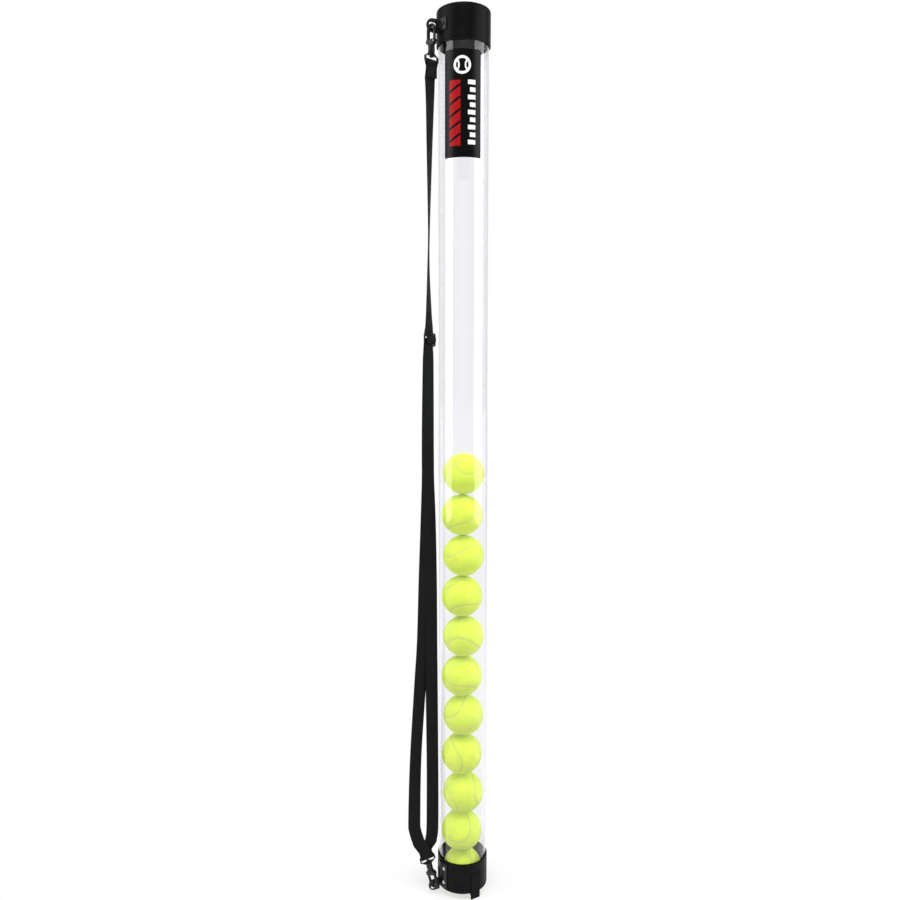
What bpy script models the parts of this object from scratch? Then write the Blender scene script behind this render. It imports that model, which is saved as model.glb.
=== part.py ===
"""Tennis ball pick-up tube with a black cap, a black collar with three retaining fingers and a
shoulder strap clipped to a lug on each end. Metres, +Z up, the feet of the fingers on Z = 0."""
import math

import bmesh
import bpy
from mathutils import Matrix, Vector

# The tube stands beside the middle of the object's box, because the strap hangs on one side
AXIS_X = 0.02396

# Balls and tube
BALL_DIAMETER = 0.0654
BALL_PITCH = 0.06555
BALL_COUNT = 11
FIRST_BALL_Z = 0.0336
BALL_WANDER = 0.0012
TUBE_OUTER = 0.0381
TUBE_INNER = 0.0366
TUBE_BOTTOM = 0.0460
TUBE_TOP = 1.3775
ROUND_SEGMENTS = 48

# Cap
CAP_RADIUS = 0.0406
CAP_INNER = 0.0384
CAP_RIM = 1.3300
CAP_TOP = 1.3810
CAP_PLATE = 0.0030
CAP_EDGE = 0.0030
CAP_RING_OUTER = 0.0362
CAP_RING_WALL = 0.0020
CAP_RING_DEPTH = 0.0120

# Collar and its windows
COLLAR_RADIUS = 0.0403
COLLAR_BOTTOM = 0.0110
COLLAR_TOP = 0.0615
COLLAR_SOCKET = 0.0384
COLLAR_BORE = 0.0368
COLLAR_EDGE = 0.0010
WINDOW_WIDTH = 0.0170
WINDOW_TOP = 0.0453
WINDOW_INNER = 0.0330
WINDOW_OUTER = 0.0440

# Retaining fingers, as angles to the right of the front
FINGER_ANGLES = (32.0, 142.0, 252.0)
FINGER_WIDTH = 0.0162
FINGER_HINGE_R = 0.0387
FINGER_HINGE_Z = 0.0446
# A finger's side as (radius, height) points: down the inside, round the nose and foot, and up
FINGER_SIDE = [
    (0.0380, 0.0450), (0.0372, 0.0420), (0.0372, 0.0215),
    (0.0289, 0.0174), (0.0283, 0.0165), (0.0287, 0.0153),
    (0.0372, 0.0060), (0.0376, 0.0), (0.0396, 0.0), (0.0401, 0.0030), (0.0401, 0.0420), (0.0394, 0.0450),
]

# Strap lugs, 65 degrees to the left of the front
LUG_ANGLE = -65.0
LUG_THICKNESS = 0.0025
PAD_THICKNESS = 0.0015
PAD_SWEEP = 27.0
FIT_GAP = 0.0003
LUG_INNER = 0.0412
LUG_OUTER = 0.0605
LUG_HOLE_WIDTH = 0.0110
LUG_HOLE_HEIGHT = 0.0076
LUG_HOLE_OUTER = 0.0565
LUG_HOLE_CORNER = 0.0025
CAP_LUG_BOTTOM = 1.3440
CAP_LUG_TOP = 1.3642
CAP_PAD_BOTTOM = 1.3455
CAP_PAD_TOP = 1.3625
CAP_HOLE_Z = 1.3548
COLLAR_LUG_BOTTOM = 0.0070
COLLAR_LUG_SHOULDER = 0.0252
COLLAR_LUG_TOP = 0.0450
COLLAR_LUG_NECK = 0.0440
COLLAR_PAD_BOTTOM = 0.0140
COLLAR_PAD_TOP = 0.0566
COLLAR_HOLE_Z = 0.0129
RIVET_HEAD = 0.0028
RIVET_SHANK = 0.0013
RIVET_ANGLE = 19.0
RIVET_HOLE_START = 0.0380
RIVET_HOLE_END = 0.0450
RIVET_SHANK_START = 0.0392
RIVET_DOME_RADIUS = 0.0030
RIVET_DOME_DROP = 0.0012
PAD_START = -2.0
LUG_PLATE_FOOT = 0.0415
LUG_CORNER = 0.0015
LUG_STEP = 0.0010
CUT_REACH = 0.0040
CAP_RIVETS = (1.3540,)
COLLAR_RIVETS = (0.0250, 0.0480)

# Snap hooks: w runs along the hook from the swivel, s across it, n through it
WIRE_RADIUS = 0.0026
BOW_RADIUS = 0.00615
HOOK_BASE = 0.0080
HOOK_BOW_W = 0.02215
HOOK_NOSE_W = 0.0200
HOOK_BASE_WIDTH = 0.0172
HOOK_BASE_DEPTH = 0.0064
GATE_PIVOT_W = 0.0050
GATE_TIP_W = 0.0196
GATE_WIDTH = 0.0036
GATE_DEPTH = 0.0028
GATE_PIN_RADIUS = 0.0007
PIN_GAP = 0.0002
GATE_CHAMFER = 0.0008
FORK_INNER = 0.0022
FORK_OUTER = 0.0100
FORK_LOW = 0.0018
BASE_FOOT = 0.0048
BASE_SHOULDER = 0.0034
BASE_CHAMFER = 0.0010
LEAF_HALF = 0.0008
LEAF_LOW = -0.0012
LEAF_HIGH = 0.0052
STEM_RADIUS = 0.0017
STEM_START = 0.0040
STEM_HEAD_START = 0.0005
STEM_HEAD_END = 0.0021
STEM_CHAMFER = 0.0008
STEM_HEAD_RADIUS = 0.0032
EYE_BARREL = 0.0120
EYE_BARREL_RADIUS = 0.0050
EYE_BAR = 0.0030
EYE_SLOT = 0.0068
EYE_SLOT_WIDTH = 0.0208
EYE_SIDE = 0.0025
EYE_DEPTH = 0.0030
EYE_CORNER = 0.0030
EYE_SHOULDER = 0.0040
EYE_NECK = 0.0012
EYE_CUT = 0.0060
BARREL_CHAMFER = 0.0008
BARREL_OVERLAP = 0.0010

# Strap
STRAP_WIDTH = 0.0200
STRAP_THICKNESS = 0.0012
SLIDER_Z = 0.8970
SLIDER_X = -0.0512
SLIDER_Y = -0.0220
SLIDER_TURN = 50.0
SLIDER_BAR = 0.0022
SLIDER_DEPTH = 0.0020
SLIDER_WINDOW = 0.0067
SLIDER_INSIDE = 0.0208
SLIDER_SIDE = 0.0024
SLIDER_CORNER = 0.0025

# Where each hook's bow crosses its lug's hole, measured from the tube's axis, and how it lies
CAP_CROSSING = Vector((-0.0476, -0.0222, 1.3542))
CAP_HOOK_ACROSS = Vector((0.7326, -0.6806, 0.0))
CAP_EYE_TURN = 42.0
COLLAR_CROSSING = Vector((-0.0450, -0.0224, 0.0135))
COLLAR_HOOK_AXIS = Vector((0.25, -0.06, -0.966))
COLLAR_HOOK_ACROSS = Vector((-0.85, 0.50, 0.0))
COLLAR_EYE_ACROSS = Vector((1.0, 0.30, 0.0))

# The strap's free runs, as (x from the tube's axis, y, z, turn of its width in degrees)
UPPER_RUN = [
    (-0.0500, -0.0230, 1.2780, 44.0),
    (-0.0499, -0.0232, 1.2490, 54.0),
    (-0.0508, -0.0235, 1.1780, 68.0),
    (-0.0519, -0.0235, 1.0610, 86.0),
    (-0.0527, -0.0230, 1.0050, 84.0),
    (-0.0524, -0.0215, 0.9400, 68.0),
    (-0.0522, -0.0206, 0.9150, 56.0),
]
FRONT_RUN = [
    (-0.0529, -0.0208, 0.8700, 44.0),
    (-0.0543, -0.0222, 0.7500, 25.0),
    (-0.0546, -0.0222, 0.6820, 20.0),
    (-0.0565, -0.0216, 0.6190, 18.0),
    (-0.0600, -0.0212, 0.5230, 18.0),
    (-0.0630, -0.0200, 0.4260, 18.0),
    (-0.0680, -0.0180, 0.3500, 20.0),
    (-0.0757, -0.0140, 0.2270, 24.0),
    (-0.0783, -0.0150, 0.1260, 12.0),
    (-0.0772, -0.0165, 0.1060, 10.0),
    (-0.0705, -0.0215, 0.0870, 12.0),
]
REAR_RUN = [
    (-0.0520, -0.0148, 0.0860, 14.0),
    (-0.0492, -0.0140, 0.1050, 14.0),
    (-0.0486, -0.0135, 0.1500, 16.0),
    (-0.0486, -0.0130, 0.2270, 20.0),
    (-0.0496, -0.0160, 0.3600, 15.0),
    (-0.0502, -0.0175, 0.4260, 12.0),
    (-0.0506, -0.0186, 0.5230, 14.0),
    (-0.0522, -0.0190, 0.6190, 17.0),
    (-0.0543, -0.0195, 0.6820, 20.0),
    (-0.0547, -0.0197, 0.7500, 25.0),
    (-0.0543, -0.0190, 0.8700, 44.0),
]
SLIDER_PASS = [
    (0.00195, 0.0115), (0.00195, 0.0088), (0.0013, 0.0070), (-0.0008, 0.0059), (-0.0029, 0.0040),
    (-0.00385, 0.0018), (-0.00395, 0.0), (-0.00385, -0.0018), (-0.0029, -0.0040), (-0.0008, -0.0059),
    (0.0013, -0.0070), (0.00195, -0.0088), (0.0019, -0.0140),
]
BAR_TURN_RADIUS = 0.0030
SLIDER_WRAP_RADIUS = 0.0024
FOLD_HALF = 0.00078

# Label on the tube, as angles to the right of the front
LABEL_LEFT = -46.0
LABEL_RIGHT = 40.0
LABEL_BOTTOM = 1.1630
LABEL_TOP = 1.3160
LABEL_INNER = 0.0384
LABEL_THICKNESS = 0.0002

PLASTIC_BLACK = (0.018, 0.018, 0.019)
HOOK_BLACK = (0.022, 0.022, 0.023)
STRAP_BLACK = (0.014, 0.015, 0.015)
STEEL = (0.55, 0.55, 0.56)
BALL_YELLOW = (0.72, 0.86, 0.06)
CLEAR = (0.86, 0.89, 0.93)
LABEL_BLACK = (0.02, 0.02, 0.022)


def clear_scene():
    """Remove whatever the file already holds."""
    for obj in list(bpy.data.objects):
        bpy.data.objects.remove(obj, do_unlink=True)


def material(name, color, roughness, metallic=0.0, transmission=0.0):
    """A Principled material, made once for each name."""
    found = bpy.data.materials.get(name)
    if found:
        return found
    made = bpy.data.materials.new(name)
    made.use_nodes = True
    shader = made.node_tree.nodes["Principled BSDF"]
    shader.inputs["Base Color"].default_value = (*color, 1.0)
    shader.inputs["Roughness"].default_value = roughness
    shader.inputs["Metallic"].default_value = metallic
    shader.inputs["Transmission Weight"].default_value = transmission
    return made


def add_object(name, bm, mat=None, matrix=None, smooth_angle=35.0):
    """Turn a bmesh into an object at a placement, shaded smooth up to an angle."""
    bmesh.ops.recalc_face_normals(bm, faces=bm.faces)
    mesh = bpy.data.meshes.new(name)
    bm.to_mesh(mesh)
    bm.free()
    mesh.shade_smooth()
    mesh.set_sharp_from_angle(angle=math.radians(smooth_angle))
    if mat:
        mesh.materials.append(mat)
    obj = bpy.data.objects.new(name, mesh)
    bpy.context.scene.collection.objects.link(obj)
    obj.matrix_world = matrix or Matrix.Identity(4)
    return obj


def combine(obj, operand_bm, operation, matrix=None):
    """Join or cut an object with a second shape, which is hidden from the result."""
    operand = add_object(obj.name + "_" + operation.lower(), operand_bm, None, matrix or obj.matrix_world)
    operand.hide_render = True
    operand.display_type = "WIRE"
    modifier = obj.modifiers.new(operation.title(), "BOOLEAN")
    modifier.operation = operation
    modifier.solver = "EXACT"
    modifier.object = operand


def front_direction(angle):
    """Unit vector away from the tube's axis, at an angle to the right of the front."""
    turn = math.radians(angle)
    return Vector((math.sin(turn), -math.cos(turn), 0.0))


def radial_frame(angle, radius=0.0, height=0.0):
    """Placement on the tube with local X outward, local Y along the wall and Z up."""
    outward = front_direction(angle)
    along = Vector((0.0, 0.0, 1.0)).cross(outward)
    turn = Matrix((outward, along, Vector((0.0, 0.0, 1.0)))).transposed().to_4x4()
    spot = Vector((AXIS_X, 0.0, height)) + outward * radius
    return Matrix.Translation(spot) @ turn


def frame_from(origin, along, across):
    """Placement with local Z along a direction and local X as near as it can be to across."""
    w = along.normalized()
    s = (across - across.dot(w) * w).normalized()
    n = w.cross(s)
    return Matrix.Translation(origin) @ Matrix((s, n, w)).transposed().to_4x4()


def arc(center, radius, start, end, steps):
    """Points of an arc in the plane, angles in degrees."""
    angles = [math.radians(start + (end - start) * i / steps) for i in range(steps + 1)]
    return [(center[0] + radius * math.cos(a), center[1] + radius * math.sin(a)) for a in angles]


def turned(profile, segments=ROUND_SEGMENTS, start=0.0, sweep=360.0):
    """Turn a profile of (radius, height) points about Z; a point on the axis closes the end."""
    bm = bmesh.new()
    full = sweep >= 360.0
    count = segments if full else segments + 1
    closed = profile[0][0] > 0.0
    rings = []
    for radius, height in profile:
        if radius <= 0.0:
            rings.append([bm.verts.new((0.0, 0.0, height))] * count)
            continue
        angles = [math.radians(start + sweep * i / segments) for i in range(count)]
        rings.append([bm.verts.new((radius * math.cos(a), radius * math.sin(a), height)) for a in angles])
    pairs = list(zip(rings, rings[1:] + rings[:1])) if closed else list(zip(rings, rings[1:]))
    for lower, upper in pairs:
        for i in range(segments):
            j = (i + 1) % count
            corners = []
            for vert in (lower[i], lower[j], upper[j], upper[i]):
                if vert not in corners:
                    corners.append(vert)
            bm.faces.new(corners)
    if not full:
        bm.faces.new([ring[0] for ring in rings])
        bm.faces.new([ring[-1] for ring in rings])
    return bm


def extruded(outline, low, high, plane="XY"):
    """Extrude an outline; plane XY runs up Z, and plane XZ runs along Y."""
    bm = bmesh.new()
    layers = []
    for level in (low, high):
        if plane == "XY":
            layers.append([bm.verts.new((a, b, level)) for a, b in outline])
        else:
            layers.append([bm.verts.new((a, level, b)) for a, b in outline])
    bm.faces.new(layers[0])
    bm.faces.new(layers[1])
    for i in range(len(outline)):
        j = (i + 1) % len(outline)
        bm.faces.new((layers[0][i], layers[0][j], layers[1][j], layers[1][i]))
    return bm


def rod(radius, low, high, segments=16, axis="Z"):
    """A plain round rod along a local axis."""
    bm = bmesh.new()
    depth = high - low
    bmesh.ops.create_cone(bm, cap_ends=True, segments=segments, radius1=radius, radius2=radius, depth=depth)
    bmesh.ops.translate(bm, verts=bm.verts, vec=(0.0, 0.0, (low + high) / 2))
    if axis == "Y":
        bmesh.ops.rotate(bm, verts=bm.verts, matrix=Matrix.Rotation(math.radians(-90), 3, "X"))
    if axis == "X":
        bmesh.ops.rotate(bm, verts=bm.verts, matrix=Matrix.Rotation(math.radians(90), 3, "Y"))
    return bm


def bent_wire(path, radius, sides=12):
    """A round wire through (s, w) points in the plane of a hook."""
    bm = bmesh.new()
    rings = []
    for i, (s, w) in enumerate(path):
        before = path[max(i - 1, 0)]
        after = path[min(i + 1, len(path) - 1)]
        tangent = Vector((after[0] - before[0], 0.0, after[1] - before[1])).normalized()
        side = tangent.cross(Vector((0.0, 1.0, 0.0)))
        ring = []
        for k in range(sides):
            turn = 2 * math.pi * k / sides
            offset = side * math.cos(turn) * radius + Vector((0.0, 1.0, 0.0)) * math.sin(turn) * radius
            ring.append(bm.verts.new(Vector((s, 0.0, w)) + offset))
        rings.append(ring)
    for lower, upper in zip(rings, rings[1:]):
        for k in range(sides):
            j = (k + 1) % sides
            bm.faces.new((lower[k], lower[j], upper[j], upper[k]))
    bm.faces.new(rings[0])
    bm.faces.new(rings[-1])
    return bm


def ribbon(stations):
    """A flat strap through (centre, width direction) stations."""
    bm = bmesh.new()
    sections = []
    for i, (center, across) in enumerate(stations):
        before = stations[max(i - 1, 0)][0]
        after = stations[min(i + 1, len(stations) - 1)][0]
        tangent = (after - before).normalized()
        width = (across - across.dot(tangent) * tangent).normalized()
        face = tangent.cross(width)
        section = []
        for a, b in ((-1, -1), (1, -1), (1, 1), (-1, 1)):
            corner = center + width * (a * STRAP_WIDTH / 2) + face * (b * STRAP_THICKNESS / 2)
            section.append(bm.verts.new(corner))
        sections.append(section)
    for lower, upper in zip(sections, sections[1:]):
        for k in range(4):
            j = (k + 1) % 4
            bm.faces.new((lower[k], lower[j], upper[j], upper[k]))
    bm.faces.new(sections[0])
    bm.faces.new(sections[-1])
    return bm


def smoothed(stations, steps):
    """Catmull-Rom stations between the given ones, so that the strap runs in soft curves."""
    result = []
    last = len(stations) - 1
    for i in range(last):
        p0, p1, p2, p3 = (stations[min(max(k, 0), last)] for k in (i - 1, i, i + 1, i + 2))
        for step in range(steps):
            t = step / steps
            mixed = []
            for a, b, c, d in zip(p0, p1, p2, p3):
                mixed.append(0.5 * (2 * b + (c - a) * t + (2 * a - 5 * b + 4 * c - d) * t * t
                                    + (3 * b - a - 3 * c + d) * t * t * t))
            result.append(tuple(mixed))
    result.append(stations[last])
    return result


def strap_direction(angle):
    """Width direction of a hanging strap, turned from the front's left-to-right line."""
    turn = math.radians(angle)
    return Vector((math.cos(turn), math.sin(turn), 0.0))


def make_tube():
    """The clear tube, open at both ends."""
    profile = [(TUBE_INNER, TUBE_BOTTOM), (TUBE_OUTER, TUBE_BOTTOM)]
    profile += [(TUBE_OUTER, TUBE_TOP), (TUBE_INNER, TUBE_TOP)]
    clear = material("clear_plastic", CLEAR, 0.06, transmission=0.9)
    add_object("clear_tube", turned(profile), clear, Matrix.Translation((AXIS_X, 0.0, 0.0)))


def make_cap():
    """The top cap: a skirt over the tube, a top plate and a locating ring inside the bore."""
    under = CAP_TOP - CAP_PLATE
    ring_inner = CAP_RING_OUTER - CAP_RING_WALL
    edge = arc((CAP_RADIUS - CAP_EDGE, CAP_TOP - CAP_EDGE), CAP_EDGE, 0.0, 90.0, 4)
    profile = [(0.0, under), (ring_inner, under), (ring_inner, under - CAP_RING_DEPTH)]
    profile += [(CAP_RING_OUTER, under - CAP_RING_DEPTH), (CAP_RING_OUTER, under), (CAP_INNER, under)]
    profile += [(CAP_INNER, CAP_RIM), (CAP_RADIUS, CAP_RIM)] + edge + [(0.0, CAP_TOP)]
    black = material("cap_plastic", PLASTIC_BLACK, 0.35)
    cap = add_object("top_cap", turned(profile), black, Matrix.Translation((AXIS_X, 0.0, 0.0)))
    hole = rod(RIVET_SHANK + FIT_GAP, CAP_INNER + FIT_GAP, RIVET_HOLE_END, axis="X")
    combine(cap, hole, "DIFFERENCE", radial_frame(LUG_ANGLE + RIVET_ANGLE, 0.0, CAP_RIVETS[0]))


def make_collar():
    """The bottom collar: a socket for the tube, a bore for the balls and three windows."""
    middle = (COLLAR_RADIUS - COLLAR_EDGE, COLLAR_BOTTOM + COLLAR_EDGE)
    bottom_edge = arc(middle, COLLAR_EDGE, -90.0, 0.0, 2)
    top_edge = arc((COLLAR_RADIUS - COLLAR_EDGE, COLLAR_TOP - COLLAR_EDGE), COLLAR_EDGE, 0.0, 90.0, 2)
    shoulder = TUBE_BOTTOM - FIT_GAP
    profile = [(COLLAR_BORE, COLLAR_BOTTOM)] + bottom_edge + top_edge
    profile += [(COLLAR_SOCKET, COLLAR_TOP), (COLLAR_SOCKET, shoulder), (COLLAR_BORE, shoulder)]
    black = material("collar_plastic", PLASTIC_BLACK, 0.38)
    collar = add_object("bottom_collar", turned(profile), black, Matrix.Translation((AXIS_X, 0.0, 0.0)))
    half = WINDOW_WIDTH / 2
    for angle in FINGER_ANGLES:
        outline = [(WINDOW_INNER, -half), (WINDOW_OUTER, -half), (WINDOW_OUTER, half), (WINDOW_INNER, half)]
        window = extruded(outline, 0.0, WINDOW_TOP)
        combine(collar, window, "DIFFERENCE", radial_frame(angle))
    for height in COLLAR_RIVETS:
        hole = rod(RIVET_SHANK + FIT_GAP, RIVET_HOLE_START, RIVET_HOLE_END, axis="X")
        combine(collar, hole, "DIFFERENCE", radial_frame(LUG_ANGLE + RIVET_ANGLE, 0.0, height))


def make_fingers():
    """Three springy fingers: a foot on the ground, a lead-in ramp and a nose under the ball."""
    outline = [(r - FINGER_HINGE_R, z - FINGER_HINGE_Z) for r, z in FINGER_SIDE]
    black = material("finger_plastic", PLASTIC_BLACK, 0.42)
    for number, angle in enumerate(FINGER_ANGLES, start=1):
        finger = extruded(outline, -FINGER_WIDTH / 2, FINGER_WIDTH / 2, "XZ")
        place = radial_frame(angle, FINGER_HINGE_R, FINGER_HINGE_Z)
        add_object(f"retaining_finger_{number}", finger, black, place, 25.0)


def rounded_outline(center, half_width, half_height, corner, steps=3):
    """A rectangle with round corners."""
    points = []
    for quarter, (side, rise) in enumerate(((1, 1), (-1, 1), (-1, -1), (1, -1))):
        middle = (center[0] + side * (half_width - corner), center[1] + rise * (half_height - corner))
        points += arc(middle, corner, quarter * 90.0, quarter * 90.0 + 90.0, steps)
    return points


def make_lug(name, wall, plate_outline, pad_low, pad_high, hole_z, rivets):
    """A lug: a pad that follows the wall, and a plate standing out from it with a hook hole."""
    inner = wall + FIT_GAP
    outer = inner + PAD_THICKNESS
    profile = [(inner, pad_low), (outer, pad_low), (outer, pad_high), (inner, pad_high)]
    coated = material("lug_black", HOOK_BLACK, 0.4)
    pad = turned(profile, 10, PAD_START, PAD_SWEEP - PAD_START)
    lug = add_object(name, pad, coated, radial_frame(LUG_ANGLE))
    for number, height in enumerate(rivets, start=1):
        hole = rod(RIVET_SHANK + FIT_GAP, RIVET_HOLE_START, RIVET_HOLE_END, axis="X")
        combine(lug, hole, "DIFFERENCE", radial_frame(LUG_ANGLE + RIVET_ANGLE, 0.0, height))
        make_rivet(f"{name}_rivet_{number}", outer + FIT_GAP, height)
    half = LUG_THICKNESS / 2
    combine(lug, extruded(plate_outline, -half, half, "XZ"), "UNION")
    middle = LUG_HOLE_OUTER - LUG_HOLE_WIDTH / 2
    hook_hole = rounded_outline((middle, hole_z), LUG_HOLE_WIDTH / 2, LUG_HOLE_HEIGHT / 2, LUG_HOLE_CORNER)
    combine(lug, extruded(hook_hole, -CUT_REACH, CUT_REACH, "XZ"), "DIFFERENCE")


def make_rivet(name, seat, height):
    """A domed rivet whose shank ends inside the wall."""
    dome = arc((seat - RIVET_DOME_DROP, 0.0), RIVET_DOME_RADIUS, 0.0, 62.0, 4)
    profile = [(0.0, RIVET_SHANK_START), (RIVET_SHANK, RIVET_SHANK_START)]
    profile += [(RIVET_SHANK, seat), (RIVET_HEAD, seat)]
    profile += [(y, x) for x, y in reversed(dome)]
    profile[-1] = (0.0, profile[-1][1])
    body = turned(profile, 14)
    bmesh.ops.rotate(body, verts=body.verts, matrix=Matrix.Rotation(math.radians(90), 3, "Y"))
    steel = material("rivet_steel", STEEL, 0.35, 1.0)
    add_object(name, body, steel, radial_frame(LUG_ANGLE + RIVET_ANGLE, 0.0, height))


def make_lugs():
    """The cap's lug, and the taller lug on the collar."""
    middle = (CAP_LUG_BOTTOM + CAP_LUG_TOP) / 2
    radius = (CAP_LUG_TOP - CAP_LUG_BOTTOM) / 2
    cap_plate = [(LUG_INNER, CAP_LUG_BOTTOM)] + arc((LUG_OUTER - radius, middle), radius, -90.0, 90.0, 10)
    cap_plate += [(LUG_INNER, CAP_LUG_TOP)]
    make_lug("cap_lug", CAP_RADIUS, cap_plate, CAP_PAD_BOTTOM, CAP_PAD_TOP, CAP_HOLE_Z, CAP_RIVETS)
    middle = (COLLAR_LUG_BOTTOM + COLLAR_LUG_SHOULDER) / 2
    radius = (COLLAR_LUG_SHOULDER - COLLAR_LUG_BOTTOM) / 2
    inner = COLLAR_RADIUS + FIT_GAP + PAD_THICKNESS / 2
    corner = LUG_CORNER
    plate = [(inner, COLLAR_PAD_BOTTOM + LUG_STEP), (LUG_PLATE_FOOT, COLLAR_LUG_BOTTOM)]
    plate += arc((LUG_OUTER - radius, middle), radius, -90.0, 90.0, 10)
    plate += [(COLLAR_LUG_NECK, COLLAR_LUG_SHOULDER + LUG_STEP)]
    plate += arc((COLLAR_LUG_NECK - corner, COLLAR_LUG_TOP - corner), corner, 0.0, 90.0, 3)
    plate += [(inner, COLLAR_LUG_TOP)]
    pad = (COLLAR_PAD_BOTTOM, COLLAR_PAD_TOP)
    make_lug("collar_lug", COLLAR_RADIUS, plate, *pad, COLLAR_HOLE_Z, COLLAR_RIVETS)


def make_hook(prefix, place):
    """A snap hook: the wire bow on its base with the swivel stem, the gate, its pin and its spring."""
    black = material("hook_black", HOOK_BLACK, 0.3, 0.4)
    steel = material("pin_steel", STEEL, 0.3, 1.0)
    bow = [(-BOW_RADIUS, BASE_SHOULDER), (-BOW_RADIUS, HOOK_BOW_W)]
    bow += arc((0.0, HOOK_BOW_W), BOW_RADIUS, 180.0, 0.0, 10)[1:]
    bow += [(BOW_RADIUS, HOOK_NOSE_W)]
    hook = add_object(prefix + "_hook_frame", bent_wire(bow, WIRE_RADIUS), black, place)
    half = HOOK_BASE_WIDTH / 2
    brow = HOOK_BASE - BASE_CHAMFER
    outline = [(-BASE_FOOT, FIT_GAP), (BASE_FOOT, FIT_GAP), (half, BASE_SHOULDER), (half, brow)]
    outline += [(half - BASE_CHAMFER, HOOK_BASE), (BASE_CHAMFER - half, HOOK_BASE)]
    outline += [(-half, brow), (-half, BASE_SHOULDER)]
    combine(hook, extruded(outline, -HOOK_BASE_DEPTH / 2, HOOK_BASE_DEPTH / 2, "XZ"), "UNION")
    stem_end = -(EYE_BARREL + EYE_BAR + STEM_HEAD_END)
    head = -(EYE_BARREL + EYE_BAR + STEM_HEAD_START)
    stem = [(0.0, STEM_START), (STEM_RADIUS, STEM_START), (STEM_RADIUS, head), (STEM_HEAD_RADIUS, head)]
    stem += [(STEM_HEAD_RADIUS, stem_end + STEM_CHAMFER), (STEM_HEAD_RADIUS - STEM_CHAMFER, stem_end)]
    stem += [(0.0, stem_end)]
    combine(hook, turned(stem, 16), "UNION")
    fork_half = GATE_DEPTH / 2 + FIT_GAP
    fork = [(FORK_INNER, FORK_LOW), (FORK_OUTER, FORK_LOW)]
    fork += [(FORK_OUTER, FORK_OUTER), (FORK_INNER, FORK_OUTER)]
    combine(hook, extruded(fork, -fork_half, fork_half, "XZ"), "DIFFERENCE")
    pin_hole = rod(GATE_PIN_RADIUS + PIN_GAP, -CUT_REACH, CUT_REACH, axis="Y")
    pivot = place @ Matrix.Translation((BOW_RADIUS, 0.0, GATE_PIVOT_W))
    combine(hook, pin_hole, "DIFFERENCE", pivot)
    reach = GATE_TIP_W - GATE_PIVOT_W
    side = GATE_WIDTH / 2
    gate_side = arc((0.0, 0.0), side, 180.0, 360.0, 6)
    gate_side += [(side, reach - GATE_CHAMFER), (side - GATE_CHAMFER, reach)]
    gate_side += [(GATE_CHAMFER - side, reach), (-side, reach - GATE_CHAMFER)]
    bar = extruded(gate_side, -GATE_DEPTH / 2, GATE_DEPTH / 2, "XZ")
    gate = add_object(prefix + "_gate", bar, black, pivot)
    combine(gate, rod(GATE_PIN_RADIUS + PIN_GAP, -CUT_REACH, CUT_REACH, axis="Y"), "DIFFERENCE")
    pin_half = HOOK_BASE_DEPTH / 2 + FIT_GAP
    add_object(prefix + "_gate_pin", rod(GATE_PIN_RADIUS, -pin_half, pin_half, 12, "Y"), steel, pivot)
    near = -side - FIT_GAP
    far = near - FIT_GAP
    leaf = [(near, LEAF_LOW), (near, LEAF_HIGH), (far, LEAF_HIGH), (far, LEAF_LOW)]
    add_object(prefix + "_gate_spring", extruded(leaf, -LEAF_HALF, LEAF_HALF, "XZ"), steel, pivot)


def make_eye(prefix, place):
    """The strap eye below a hook: a bored swivel barrel on a flat ring for the webbing."""
    black = material("hook_black", HOOK_BLACK, 0.3, 0.4)
    half = EYE_SLOT_WIDTH / 2 + EYE_SIDE
    top = -EYE_BARREL
    bottom = top - EYE_BAR - EYE_SLOT - EYE_BAR
    corner = EYE_CORNER
    neck = (EYE_BARREL_RADIUS, top + EYE_NECK)
    ring = arc((half - corner, bottom + corner), corner, -90.0, 0.0, 3)
    ring += [(half, top - EYE_SHOULDER), neck, (-neck[0], neck[1]), (-half, top - EYE_SHOULDER)]
    ring += arc((corner - half, bottom + corner), corner, 180.0, 270.0, 3)
    eye = add_object(prefix + "_eye", extruded(ring, -EYE_DEPTH / 2, EYE_DEPTH / 2, "XZ"), black, place)
    foot = top - BARREL_OVERLAP
    barrel = [(0.0, foot), (EYE_BARREL_RADIUS, foot), (EYE_BARREL_RADIUS, -BARREL_CHAMFER)]
    barrel += [(EYE_BARREL_RADIUS - BARREL_CHAMFER, 0.0), (0.0, 0.0)]
    combine(eye, turned(barrel, 20), "UNION")
    slot_top = top - EYE_BAR
    slot_low = slot_top - EYE_SLOT
    width = EYE_SLOT_WIDTH / 2
    slot = [(-width, slot_low), (width, slot_low), (width, slot_top), (-width, slot_top)]
    combine(eye, extruded(slot, -EYE_CUT, EYE_CUT, "XZ"), "DIFFERENCE")
    combine(eye, rod(STEM_RADIUS + FIT_GAP, slot_top - BARREL_OVERLAP, EYE_BAR, 16), "DIFFERENCE")


def make_slider(place):
    """The strap slider: a flat frame with a bar across its middle."""
    black = material("slider_black", PLASTIC_BLACK, 0.35)
    half_height = 1.5 * SLIDER_BAR + SLIDER_WINDOW
    outline = rounded_outline((0.0, 0.0), SLIDER_INSIDE / 2 + SLIDER_SIDE, half_height, SLIDER_CORNER)
    frame = extruded(outline, -SLIDER_DEPTH / 2, SLIDER_DEPTH / 2, "XZ")
    slider = add_object("strap_slider", frame, black, place)
    width = SLIDER_INSIDE / 2
    for side in (-1.0, 1.0):
        near = side * SLIDER_BAR / 2
        far = side * (SLIDER_BAR / 2 + SLIDER_WINDOW)
        window = [(-width, near), (width, near), (width, far), (-width, far)]
        combine(slider, extruded(window, -CUT_REACH, CUT_REACH, "XZ"), "DIFFERENCE")


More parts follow.
